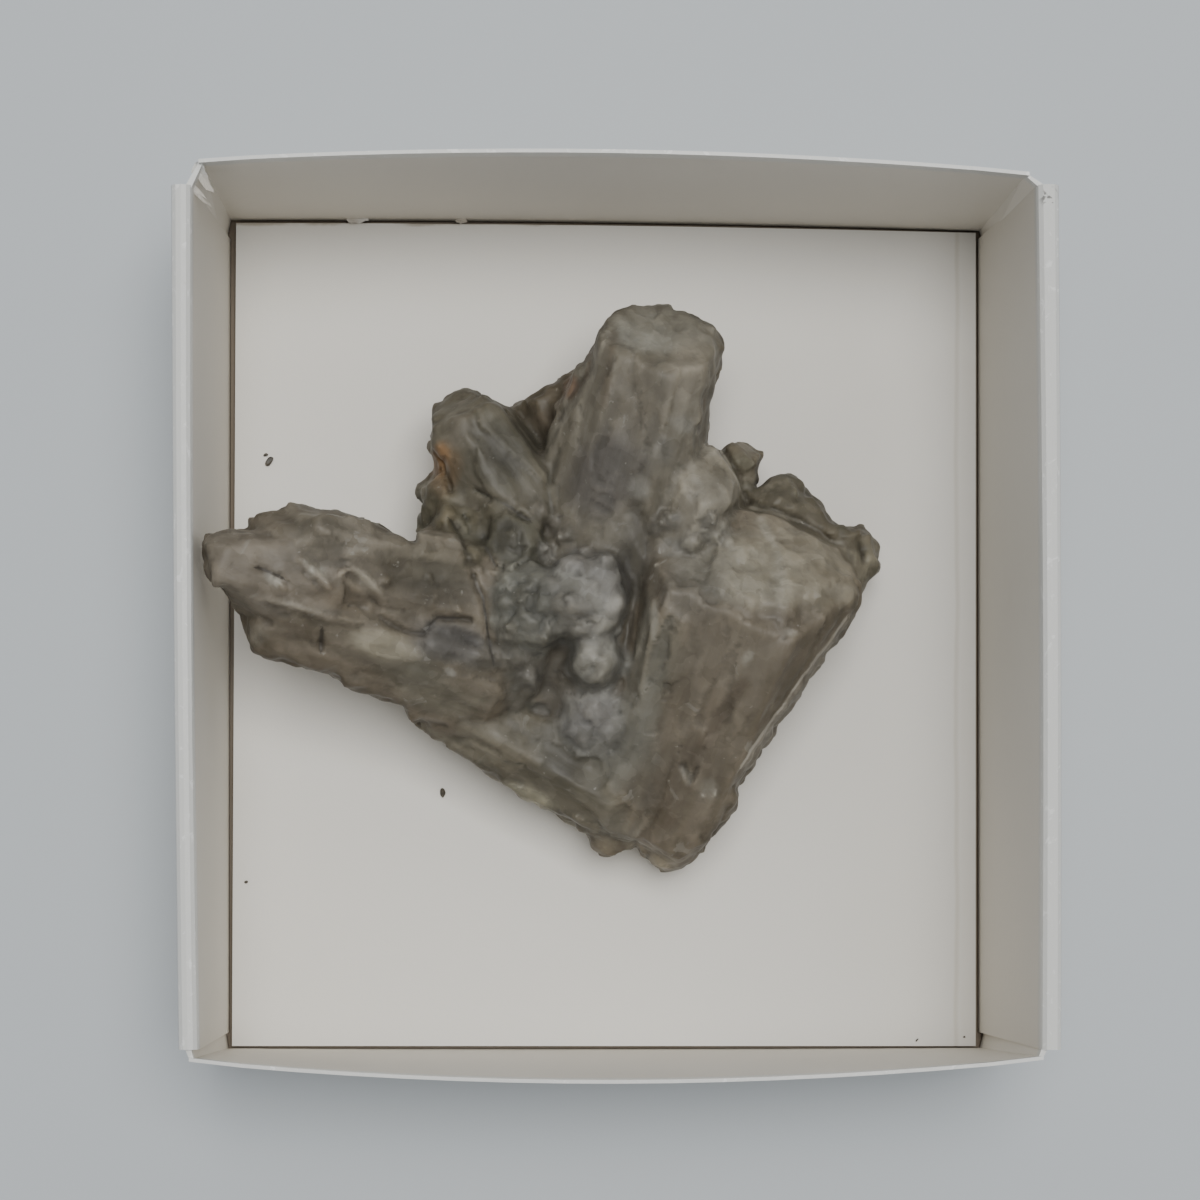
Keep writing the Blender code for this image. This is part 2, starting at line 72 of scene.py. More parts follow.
# ---- crystals of the cluster, as in the solid model ---------------------------------------------------
# name, root end (px, py, z), free end (px, py, z), half widths (px), half thicknesses (mm),
# roll, number of prism faces, seed, bevel at the root, bevel at the free end, irregularity,
# tilt of the root plane, tilt of the free end plane (degrees, across and up)
CRYSTALS = [
    # grown-together middle of the cluster
    ("core_west", (470, 640, 6.0), (640, 640, 6.4), (70, 85), (3.6, 4.2), 22, 8, 1, .6, .6, .05, (0, 0), (0, 0)),
    ("core_north", (600, 640, 6.4), (600, 480, 6.0), (80, 62), (4.0, 3.8), 22, 8, 2, .6, .6, .05, (0, 0), (0, 0)),
    ("core_east", (610, 640, 6.0), (790, 600, 5.6), (85, 60), (4.0, 3.0), 22, 8, 3, .6, .6, .05, (0, 0), (0, 0)),
    ("core_south", (600, 640, 6.0), (600, 780, 5.0), (80, 46), (3.8, 3.0), 22, 8, 4, .6, .6, .05, (0, 0), (0, 0)),
    # north column and what leans on it
    ("north", (604, 566, 6.4), (666, 325, 10.6), (74, 58), (4.0, 3.1), 10, 8, 11, 0, .40, .04, (0, 0), (-4, 20)),
    ("north_left", (583, 470, 7.4), (620, 336, 9.0), (32, 19), (2.6, 2.0), 8, 6, 12, 0, .3, .05, (0, 0), (0, 0)),
    ("north_low", (604, 478, 5.0), (549, 384, 5.4), (56, 50), (2.6, 2.2), 20, 6, 13, 0, .15, .04, (0, 0), (0, 0)),
    ("nw", (534, 524, 7.8), (454, 403, 8.6), (40, 37), (2.9, 2.3), 12, 6, 14, 0, .40, .04, (0, 0), (8, 15)),
    ("nw_side", (505, 520, 6.0), (439, 440, 6.6), (40, 22), (2.6, 2.2), 0, 6, 15, 0, .3, .05, (0, 0), (0, 0)),
    # greenish knobs west of the middle
    ("green_a", (520, 548, 7.4), (431, 488, 7.6), (38, 25), (2.8, 2.4), 12, 6, 16, 0, .35, .06, (0, 0), (0, 0)),
    ("green_b", (505, 590, 7.4), (434, 520, 8.2), (46, 26), (2.9, 2.6), 0, 6, 17, 0, .3, .06, (0, 0), (0, 0)),
    ("green_hex", (514, 560, 8.0), (512, 541, 11.3), (27, 24), (1.4, 1.25), 20, 6, 18, 0, .25, .05, (0, 0), (0, 0)),
    # west arm, a broad blade reaching up to the rim of the tray
    ("arm_main", (492, 636, 7.6), (247, 574, 12.8), (86, 56), (3.3, 2.3), 6, 8, 20, .3, .40, .04, (0, 0), (0, 8)),
    ("arm_top", (490, 604, 8.4), (250, 550, 13.5), (52, 36), (3.0, 2.0), 28, 7, 21, .2, .30, .04, (0, 0), (6, 12)),
    ("arm_ridge", (440, 566, 9.6), (292, 531, 14.0), (27, 23), (2.4, 1.8), 4, 6, 22, .2, .30, .05, (0, 0), (0, 0)),
    ("arm_tip", (330, 586, 12.4), (205, 563, 15.0), (48, 27), (1.9, 1.1), 20, 6, 23, .2, .25, .04, (0, 0), (-6, -14)),
    ("arm_low", (490, 682, 7.2), (249, 622, 12.2), (38, 24), (2.9, 1.9), 18, 6, 24, .2, .30, .05, (0, 0), (5, 10)),
    ("arm_end", (522, 666, 7.4), (392, 634, 11.2), (42, 33), (2.9, 2.2), 5, 6, 25, .3, .30, .05, (0, 0), (0, 20)),
    # south-west flank
    ("flank_a", (622, 796, 5.6), (424, 688, 7.2), (44, 30), (2.8, 2.1), 14, 6, 26, .3, .30, .04, (0, 0), (0, 0)),
    ("flank_b", (650, 800, 4.6), (540, 776, 5.0), (46, 32), (2.7, 2.3), 20, 6, 27, .3, .30, .05, (0, 0), (0, 0)),
    # rounded white growths in the middle
    ("button", (580, 606, 9.0), (588, 592, 13.3), (40, 35), (1.8, 1.6), 5, 9, 31, 0, .55, .05, (0, 0), (0, 0)),
    ("button_low", (592, 662, 8.0), (597, 660, 12.2), (27, 22), (1.1, 1.0), 10, 7, 32, 0, .35, .05, (0, 0), (0, 0)),
    ("knobs", (534, 618, 8.5), (524, 602, 12.3), (38, 33), (1.9, 1.7), 10, 7, 33, 0, .40, .06, (0, 0), (0, 0)),
    ("frosted", (600, 700, 6.0), (592, 720, 9.7), (38, 33), (1.7, 1.5), 10, 7, 34, 0, .40, .06, (0, 0), (0, 0)),
    # broad prism on the right: parallel prisms grown side by side
    ("big_main", (663, 812, 5.0), (754, 553, 10.2), (66, 100), (3.1, 3.8), 30, 6, 40, .25, .40, .03, (0, 0), (0, 26)),
    ("big_left", (618, 818, 5.2), (698, 575, 9.5), (28, 42), (2.8, 3.4), 26, 7, 41, .25, .30, .04, (0, 0), (0, 24)),
    ("big_mid", (664, 836, 5.2), (772, 546, 10.2), (34, 52), (3.0, 3.6), 22, 7, 42, .25, .30, .04, (0, 0), (0, 26)),
    ("big_right", (692, 776, 5.4), (829, 560, 9.5), (28, 34), (2.8, 3.1), 28, 6, 43, .25, .30, .03, (0, 0), (0, 24)),
    ("end_a", (650, 740, 4.8), (603, 850, 5.0), (30, 19), (2.2, 1.8), 0, 6, 44, 0, .35, .05, (0, 0), (0, 0)),
    ("end_b", (668, 740, 4.8), (634, 848, 5.0), (28, 20), (2.2, 1.8), 10, 6, 45, 0, .35, .05, (0, 0), (0, 0)),
    ("end_c", (716, 740, 4.8), (669, 868, 4.8), (36, 28), (2.4, 1.9), 12, 6, 46, 0, .35, .05, (0, 0), (0, 0)),
    ("end_d", (736, 742, 4.2), (714, 818, 4.2), (26, 20), (1.8, 1.5), 0, 6, 47, 0, .35, .05, (0, 0), (0, 0)),
    # smooth lobe between the column and the broad prism
    ("lobe", (664, 570, 7.0), (715, 456, 10.6), (58, 27), (3.4, 2.5), 10, 8, 48, 0, .60, .03, (0, 0), (10, 20)),
    # low crystals behind, north-east
    ("ne_knob", (706, 520, 4.6), (747, 446, 5.4), (34, 22), (2.0, 1.5), 5, 6, 51, 0, .35, .06, (0, 0), (0, 0)),
    ("ne_plate", (690, 530, 4.6), (866, 546, 4.8), (58, 40), (2.4, 1.9), 8, 6, 54, 0, .3, .05, (0, 0), (0, 0)),
    ("ne_low", (750, 600, 4.4), (874, 556, 4.8), (60, 30), (2.8, 2.0), 12, 6, 52, 0, .35, .05, (0, 0), (0, 0)),
    ("ne_back", (740, 570, 4.8), (800, 488, 5.4), (56, 32), (2.4, 1.9), 10, 6, 53, 0, .35, .05, (0, 0), (0, 0)),
    # what the cluster stands on, underneath
    ("foot_south", (650, 760, 5.0), (662, 800, 1.45), (50, 30), (2.6, 1.7), 10, 6, 61, 0, .2, .05, (0, 0), (0, 0)),
    ("foot_east", (790, 590, 4.6), (812, 566, 1.45), (46, 30), (2.2, 1.6), 0, 6, 62, 0, .2, .05, (0, 0), (0, 0)),
    ("foot_north", (560, 460, 5.0), (548, 436, 1.45), (48, 32), (2.3, 1.7), 15, 6, 63, 0, .2, .05, (0, 0), (0, 0)),
    ("foot_west", (470, 660, 6.0), (440, 668, 1.9), (46, 28), (2.4, 1.5), 15, 6, 64, 0, .3, .05, (0, 0), (0, 0)),
]
STONE_BOTTOM = 1.45

# body colour of the crystals (linear); the rest take BROWN
BROWN = (0.144, 0.123, 0.092)
GREY = (0.152, 0.142, 0.121)
COLOUR = {
    "north": (0.158, 0.144, 0.113), "north_left": (0.139, 0.117, 0.086), "north_low": (0.125, 0.104, 0.075),
    "nw": (0.130, 0.118, 0.089), "nw_side": (0.144, 0.125, 0.090),
    "green_a": (0.130, 0.121, 0.088), "green_b": (0.130, 0.121, 0.088), "green_hex": (0.085, 0.080, 0.060),
    "arm_main": (0.144, 0.125, 0.094), "arm_top": (0.152, 0.132, 0.100), "arm_ridge": (0.178, 0.158, 0.123),
    "arm_tip": (0.178, 0.156, 0.123), "arm_low": (0.130, 0.110, 0.081), "arm_end": (0.115, 0.106, 0.086),
    "flank_a": (0.142, 0.129, 0.098), "flank_b": (0.158, 0.146, 0.106),
    "button": (0.215, 0.210, 0.186), "button_low": (0.210, 0.205, 0.180), "knobs": (0.145, 0.141, 0.118),
    "frosted": (0.185, 0.180, 0.160),
    "big_main": (0.139, 0.119, 0.088), "big_left": (0.144, 0.134, 0.108), "big_mid": (0.144, 0.123, 0.092),
    "big_right": (0.134, 0.115, 0.084), "lobe": (0.225, 0.206, 0.164),
    "ne_knob": (0.145, 0.128, 0.095), "ne_low": (0.142, 0.130, 0.097), "ne_back": (0.138, 0.125, 0.094), "ne_plate": (0.130, 0.116, 0.086),
}

# outline of the whole cluster from above: growth stops here, ragged
OUTLINE = [
    (199, 540), (205, 534), (235, 529), (250, 529), (245, 515), (280, 511), (290, 504), (300, 503), (325, 509),
    (345, 514), (365, 517), (366, 521), (385, 530), (400, 537), (417, 544), (419, 520), (423, 502), (417, 498),
    (417, 488), (420, 481), (428, 475), (436, 473), (437, 462), (427, 448), (428, 440), (433, 425), (434, 408),
    (447, 396), (457, 392), (465, 389), (485, 397), (500, 406), (505, 409), (520, 402), (540, 396), (550, 388),
    (560, 381), (575, 370), (585, 362), (590, 352), (600, 333), (608, 318), (618, 310), (630, 307), (645, 306),
    (655, 308), (659, 303), (661, 309), (668, 307), (674, 314), (680, 311), (690, 312), (700, 319), (712, 323),
    (722, 330), (726, 347), (722, 360), (721, 372), (708, 400), (710, 412), (707, 440), (714, 441), (721, 449),
    (730, 443), (740, 438), (746, 438), (755, 451), (763, 452), (758, 463), (757, 478), (752, 489), (758, 490),
    (772, 477), (778, 475), (783, 478), (790, 475), (797, 477), (808, 495), (821, 505), (829, 520), (834, 525),
    (857, 531), (861, 527), (862, 532), (870, 535), (885, 549), (878, 568), (862, 586), (857, 603), (852, 618),
    (843, 633), (830, 650), (800, 692), (780, 722), (760, 752), (742, 778), (735, 788), (737, 796), (732, 808),
    (726, 820), (718, 824), (705, 842), (697, 855), (690, 863), (670, 872), (660, 871), (651, 864), (648, 857),
    (638, 853), (630, 849), (622, 849), (610, 856), (600, 853), (592, 843), (588, 831), (575, 823), (555, 812),
    (535, 806), (520, 798), (507, 785), (500, 780), (485, 771), (455, 752), (425, 733), (412, 722), (405, 712),
    (403, 705), (390, 699), (370, 693), (350, 688), (340, 677), (320, 672), (290, 663), (265, 657), (255, 650),
    (247, 637), (243, 622), (238, 614), (229, 605), (230, 598), (222, 590), (212, 583), (210, 572), (202, 557),
]


# ---- noise ---------------------------------------------------------------------------------------------
def spline_rows(n, step, cell):
    """Weights that spread a coarse row of random numbers smoothly over n samples."""
    x = np.arange(n) * step / cell + 1.0
    i = np.floor(x).astype(int)
    f = x - i
    w = np.zeros((n, i.max() + 3), f32)
    r = np.arange(n)
    w[r, i - 1] = (1 - f) ** 3 / 6
    w[r, i] = (3 * f ** 3 - 6 * f ** 2 + 4) / 6
    w[r, i + 1] = (-3 * f ** 3 + 3 * f ** 2 + 3 * f + 1) / 6
    w[r, i + 2] = f ** 3 / 6
    return w


def noise3(shape, step, cell, seed):
    """Smooth random field over the whole block, about -1 to 1."""
    ws = [spline_rows(n, step, cell) for n in shape]
    r = np.random.RandomState(seed).uniform(-1, 1, [w.shape[1] for w in ws]).astype(f32)
    for w in ws:
        r = np.moveaxis(np.tensordot(w, r, axes=(1, 0)), 0, -1)
    return r * 2.2


class Curve1:
    """Smooth random function of one coordinate."""
    def __init__(self, seed, cell, lo=-30.0, hi=30.0):
        n = int((hi - lo) / cell) + 2
        self.x = lo + np.arange(n) * cell
        self.y = np.random.RandomState(seed).uniform(-1, 1, n)

    def __call__(self, t):
        return np.interp(t, self.x, self.y).astype(f32)


def ramp(x, a, b):
    t = np.clip((x - a) / (b - a), 0, 1)
    return t * t * (3 - 2 * t)


# ---- distance field of the cluster ------------------------------------------------------------------------
STEP = 0.14
LO = np.array((-18.7, -12.1, 1.15))
HI = np.array((13.7, 15.6, 17.2))
SHAPE = tuple(int(v) for v in np.ceil((HI - LO) / STEP) + 1)
AX = [(LO[k] + np.arange(SHAPE[k]) * STEP).astype(f32) for k in range(3)]
FAR = 2.5
dist = np.full(SHAPE, FAR, f32)
second = np.full(SHAPE, FAR, f32)
owner = np.zeros(SHAPE, np.int16)
frames = []                     # per crystal: origin, u, v, e, length, name, colour


def block(lo, hi):
    i0 = [max(0, int((lo[k] - LO[k]) / STEP)) for k in range(3)]
    i1 = [min(SHAPE[k], int((hi[k] - LO[k]) / STEP) + 2) for k in range(3)]
    if any(b - a < 2 for a, b in zip(i0, i1)):
        return None
    sl = tuple(slice(a, b) for a, b in zip(i0, i1))
    X = AX[0][sl[0]][:, None, None]
    Y = AX[1][sl[1]][None, :, None]
    Z = AX[2][sl[2]][None, None, :]
    return sl, X, Y, Z


def axes_of(A, B):
    e = B - A
    length = np.linalg.norm(e)
    e = e / length
    u = np.cross(e, (0.0, 0.0, 1.0))
    if np.linalg.norm(u) < 0.35:
        u = np.cross(e, (0.0, 1.0, 0.0))
    u = u / np.linalg.norm(u)
    return e, u, np.cross(u, e), length


def along(n, X, Y, Z):
    return f32(n[0]) * X + f32(n[1]) * Y + f32(n[2]) * Z


def merge(sl, d, A, u, v, e, length, name, colour, soft):
    """Union of one crystal's field into the cluster's; the joint is filled with a fillet of about soft mm."""
    cid = len(frames)
    frames.append((A, u, v, e, length, name, colour))
    old = dist[sl]
    nearer = d < old
    second[sl] = np.where(nearer, old, np.minimum(second[sl], d))
    owner[sl][nearer] = cid
    h = np.clip(f32(soft) - np.abs(old - d), 0, None)
    dist[sl] = np.minimum(old, d) - h * h * f32(0.25 / soft)


# the tabular crystals, whose faces are broader and flatter
TABULAR = ("north", "nw", "arm_main", "arm_top", "arm_low", "big_main", "big_left", "big_mid", "big_right",
           "ne_low", "ne_back", "ne_plate", "flank_a")


def girth(name, w, t, ph):
    """How far from the axis the prism face at angle ph lies."""
    q = 1.5 if name in TABULAR else 2.0
    return (abs(w * np.cos(ph)) ** q + abs(t * np.sin(ph)) ** q) ** (1 / q)


def prism(row):
    (name, a, b, w, t, roll, n, seed, bev_a, bev_b, jit, tilt_a, tilt_b) = row
    rnd = np.random.RandomState(seed)
    A, B = seen(*a), seen(*b)
    e, u, v, length = axes_of(A, B)
    wa, wb = w[0] * (EYE_Z - A[2]) / FOCAL, w[1] * (EYE_Z - B[2]) / FOCAL
    ta, tb = t
    rad = max(wa, wb, ta, tb) * 1.12 + 0.8
    pts = np.array([A, B])
    reach = rad * np.sqrt(np.clip(1 - e * e, 0, 1)) + 0.9
    got = block(pts.min(0) - reach, pts.max(0) + reach)
    sl, X, Y, Z = got
    s = along(e, X, Y, Z) - f32(e @ A)
    core = name.startswith(("core", "foot"))
    rough = name in ("button", "button_low", "knobs", "frosted", "green_hex")
    soft = 0.9 if name.startswith("big_") or core or rough else (0.45 if name.startswith("arm") else 0.30)
    d = None
    sides = []
    extra = np.random.RandomState(seed + 500)
    for i in range(n):
        ph = radians(roll) + 2 * pi * i / n + rnd.uniform(-1, 1) * jit * 3
        j = 1 + rnd.uniform(-1, 1) * jit
        ca = j * girth(name, wa, ta, ph)
        cb = j * girth(name, wb, tb, ph)
        m = np.cos(ph) * u + np.sin(ph) * v
        nn = m - (cb - ca) / length * e
        ln = np.linalg.norm(nn)
        di = along(nn / ln, X, Y, Z) - f32((nn @ A + ca) / ln)
        if not core and not rough:
            # growth lines run along the prism; they step where a parallel crystal ends
            tv = np.cross(e, m)
            tt = along(tv, X, Y, Z) - f32(tv @ A)
            warp = Curve1(seed * 31 + i, 3.0)(s) * f32(0.10)
            tt = tt + warp
            c1, c2, c3 = (Curve1(seed * 97 + i * 7 + k, q) for k, q in enumerate((1.3, 0.55, 0.26)))
            di = di + f32(0.050) * c1(tt) + f32(0.024) * c2(tt) + f32(0.010) * c3(tt)
            for k in range(2):
                t0 = extra.uniform(-1.1, 0.9) * max(wa, ta)
                t1 = t0 + extra.uniform(0.6, 1.8)
                s0 = length * extra.uniform(0.50, 0.98)
                h = extra.uniform(0.04, 0.16)
                lean = extra.uniform(-0.5, 0.5)
                di = di + f32(h) * (ramp(tt, t0 - 0.08, t0 + 0.08) * ramp(-tt, -t1 - 0.08, -t1 + 0.08)
                                    * ramp(s + f32(lean) * tt, s0 - 0.15, s0 + 0.15)).astype(f32)
        d = di if d is None else np.maximum(d, di)
        sides.append((m, ca, cb))
    nb = e + tan(radians(tilt_b[0])) * u + tan(radians(tilt_b[1])) * v
    na = -e + tan(radians(tilt_a[0])) * u + tan(radians(tilt_a[1])) * v
    nb, na = nb / np.linalg.norm(nb), na / np.linalg.norm(na)
    db = along(nb, X, Y, Z) - f32(nb @ B)
    if not core:
        # the free end is a mosaic of small flats at slightly different heights
        uu = along(u, X, Y, Z) - f32(u @ B)
        vv = along(v, X, Y, Z) - f32(v @ B)
        size = max(wb, tb)
        m_ = 5 if rough else 9
        cu, cv = extra.uniform(-1, 1, m_) * size, extra.uniform(-1, 1, m_) * size
        hh = extra.uniform(0, 1, m_) ** 1.5 * (0.12 if rough else min(0.14, 0.06 * size))
        gu, gv = extra.uniform(-0.10, 0.10, m_), extra.uniform(-0.10, 0.10, m_)
        best = np.full(np.broadcast(uu, vv).shape, 1e9, f32)
        off = np.zeros(best.shape, f32)
        for k in range(m_):
            q = (uu - f32(cu[k])) ** 2 + (vv - f32(cv[k])) ** 2
            near = q < best
            best = np.where(near, q, best)
            off = np.where(near, f32(hh[k]) + f32(gu[k]) * (uu - f32(cu[k])) + f32(gv[k]) * (vv - f32(cv[k])), off)
        db = db + off
    d = np.maximum(d, db)
    d = np.maximum(d, along(na, X, Y, Z) - f32(na @ A))
    for XX, dr, bev, k in ((B, e, bev_b, 2), (A, -e, bev_a, 1)):
        if bev <= 0:
            continue
        for side in sides:
            be = radians(35 + rnd.uniform(0, 20))
            nn = np.cos(be) * dr + np.sin(be) * side[0]
            q = XX + side[0] * (side[k] - bev * (0.6 + 0.8 * rnd.rand()) * min(side[k], 2.2))
            d = np.maximum(d, along(nn, X, Y, Z) - f32(nn @ q))
    merge(sl, d.astype(f32), A, u, v, e, length, name, COLOUR.get(name, BROWN), soft)


def small_crystal(at, direction, length, radius, seed, name, colour, sides=6, flat=1.0):
    """One crystal of the druse: a short blunt prism or a rounded grain."""
    rnd = np.random.RandomState(seed)
    e = direction / np.linalg.norm(direction)
    A = at - e * length * 0.5
    B = at + e * length * 0.5
    e, u, v, L = axes_of(A, B)
    got = block(np.minimum(A, B) - radius * 1.3 - 0.3, np.maximum(A, B) + radius * 1.3 + 0.3)
    if got is None:
        return
    sl, X, Y, Z = got
    s = along(e, X, Y, Z) - f32(e @ A)
    d = None
    ph0 = rnd.uniform(0, 2 * pi)
    for i in range(sides):
        ph = ph0 + 2 * pi * i / sides + rnd.uniform(-0.15, 0.15)
        m = np.cos(ph) * u + np.sin(ph) * v
        c = radius * rnd.uniform(0.85, 1.1) * np.hypot(np.cos(ph), flat * np.sin(ph))
        di = along(m, X, Y, Z) - f32(m @ A + c) + s * f32(0.12)
        d = di if d is None else np.maximum(d, di)
        be = radians(rnd.uniform(30, 55))
        nn = np.cos(be) * e + np.sin(be) * m
        q = B + m * c * rnd.uniform(0.35, 0.8)
        d = np.maximum(d, along(nn, X, Y, Z) - f32(nn @ q))
    nb = e + rnd.uniform(-0.3, 0.3) * u + rnd.uniform(-0.3, 0.3) * v
    nb = nb / np.linalg.norm(nb)
    d = np.maximum(d, along(nb, X, Y, Z) - f32(nb @ B))
    d = np.maximum(d, -s)
    merge(sl, d.astype(f32), A, u, v, e, L, name, colour, 0.10)


def lump(px, py, rx, ry, rise, turn, colour, seed, thick=1.1):
    """Rounded growth, seen from above as an oval, standing rise mm above what is under it."""
    z = surface_z(px, py)
    if z < 0:
        return
    rnd = np.random.RandomState(seed)
    top = seen(px, py, z + rise)
    sx = (EYE_Z - top[2]) / FOCAL
    a, b = rx * sx, ry * sx
    C = top - np.array((0, 0, thick))
    got = block(C - max(a, b, thick) - 0.6, C + max(a, b, thick) + 0.6)
    sl, X, Y, Z = got
    c, s_ = f32(cos(radians(-turn))), f32(sin(radians(-turn)))
    dx, dy, dz = X - f32(C[0]), Y - f32(C[1]), (Z - f32(C[2])) / f32(thick)
    qx, qy = (dx * c + dy * s_) / f32(a), (-dx * s_ + dy * c) / f32(b)
    ang = np.arctan2(qy, qx)
    k = rnd.randint(3, 6)
    wob = 1 + 0.11 * np.sin(k * ang + rnd.uniform(0, 6)) + 0.06 * np.sin((k + 3) * ang + rnd.uniform(0, 6))
    r = ((qx * qx + qy * qy) ** 1.25 / wob.astype(f32) ** 2.5 + np.abs(dz) ** 2.5) ** f32(0.4)
    d = ((r - 1) * f32(min(a, b, thick))).astype(f32)
    merge(sl, d, C, np.array((1.0, 0, 0)), np.array((0, 1.0, 0)), np.array((0, 0, 1.0)), thick, "lump", colour, 0.16)


for row in CRYSTALS:
    prism(row)


def surface_z(px, py):
    """Height of the cluster's top under a point of the top view (none: below zero)."""
    z = 9.0
    for _ in range(4):
        p = seen(px, py, z)
        i = int(round((p[0] - LO[0]) / STEP))
        j = int(round((p[1] - LO[1]) / STEP))
        if not (0 <= i < SHAPE[0] and 0 <= j < SHAPE[1]):
            return -1.0
        col = np.nonzero(dist[i, j] < 0)[0]
        if len(col) == 0:
            return -1.0
        z = LO[2] + col[-1] * STEP
    return z


def slope_at(p):
    """Outward direction of the field at a point."""
    i = [int(np.clip(round((p[k] - LO[k]) / STEP), 2, SHAPE[k] - 3)) for k in range(3)]
    g = np.array([dist[i[0] + 2, i[1], i[2]] - dist[i[0] - 2, i[1], i[2]],
                  dist[i[0], i[1] + 2, i[2]] - dist[i[0], i[1] - 2, i[2]],
                  dist[i[0], i[1], i[2] + 2] - dist[i[0], i[1], i[2] - 2]], float)
    return g / (np.linalg.norm(g) + 1e-6)


# druse and crumbs grown on the cluster where the top view shows them:
# (px, py, spread x, spread y, how many, length mm, radius mm, colour)
WHITE = (0.46, 0.45, 0.41)
PALE = (0.36, 0.345, 0.29)
GREYGREEN = (0.150, 0.146, 0.122)
GREYWHITE = (0.205, 0.200, 0.178)
OLIVE = (0.145, 0.135, 0.100)
DRUSE = [
    (632, 485, 22, 24, 12, 0.34, 0.17, PALE),
    (612, 500, 20, 16, 6, 0.30, 0.15, PALE),
    (700, 536, 34, 16, 12, 0.34, 0.17, PALE),
    (726, 520, 22, 14, 8, 0.34, 0.17, PALE),
    (652, 560, 22, 22, 7, 0.32, 0.16, PALE),
    (490, 775, 26, 14, 6, 0.34, 0.16, PALE),
    (498, 742, 30, 20, 6, 0.34, 0.16, PALE),
    (560, 745, 30, 24, 9, 0.32, 0.16, WHITE),
    (372, 584, 22, 12, 5, 0.32, 0.15, PALE),
    (452, 672, 22, 8, 5, 0.32, 0.15, PALE),
    (680, 425, 26, 12, 5, 0.40, 0.18, PALE),
    (664, 446, 14, 18, 4, 0.40, 0.18, PALE),
    (672, 552, 30, 16, 7, 0.40, 0.18, PALE),
    (585, 744, 26, 22, 12, 0.40, 0.17, WHITE),
    (592, 590, 60, 56, 12, 0.36, 0.17, GREYWHITE),
    (560, 622, 50, 40, 14, 0.36, 0.17, GREYGREEN),
    (520, 600, 44, 70, 22, 0.38, 0.18, GREYGREEN),
    (596, 660, 36, 32, 8, 0.34, 0.16, GREYWHITE),
    (592, 712, 50, 50, 14, 0.38, 0.17, GREYWHITE),
    (520, 655, 40, 40, 14, 0.45, 0.20, GREYGREEN),
    (535, 690, 36, 50, 18, 0.45, 0.21, GREYGREEN),
    (560, 720, 36, 36, 12, 0.45, 0.20, GREYGREEN),
    (690, 530, 60, 30, 14, 0.38, 0.18, GREYGREEN),
    (550, 525, 40, 26, 10, 0.38, 0.18, GREYGREEN),
    (572, 726, 24, 26, 6, 0.40, 0.17, PALE),
    (552, 712, 26, 34, 8, 0.45, 0.20, GREYGREEN),
    (545, 745, 26, 26, 6, 0.45, 0.20, GREYGREEN),
    (518, 690, 30, 26, 8, 0.50, 0.22, GREYGREEN),
    (545, 655, 30, 26, 8, 0.45, 0.20, GREYGREEN),
    (520, 592, 40, 60, 10, 0.40, 0.18, PALE),
    (470, 512, 60, 40, 7, 0.45, 0.20, OLIVE),
    (745, 450, 26, 24, 5, 0.8, 0.34, OLIVE),
    (790, 485, 50, 18, 7, 0.8, 0.34, OLIVE),
    (845, 530, 40, 18, 5, 0.7, 0.28, OLIVE),
    (268, 578, 22, 14, 5, 0.45, 0.18, PALE),
    (312, 566, 26, 20, 4, 0.50, 0.18, PALE),
    (555, 792, 24, 10, 4, 0.50, 0.20, PALE),
    (440, 706, 60, 24, 4, 0.6, 0.24, OLIVE),
    (708, 786, 14, 14, 4, 0.45, 0.18, PALE),
    (552, 556, 24, 10, 3, 0.35, 0.15, WHITE),
    (562, 584, 8, 8, 2, 0.35, 0.15, WHITE),
]
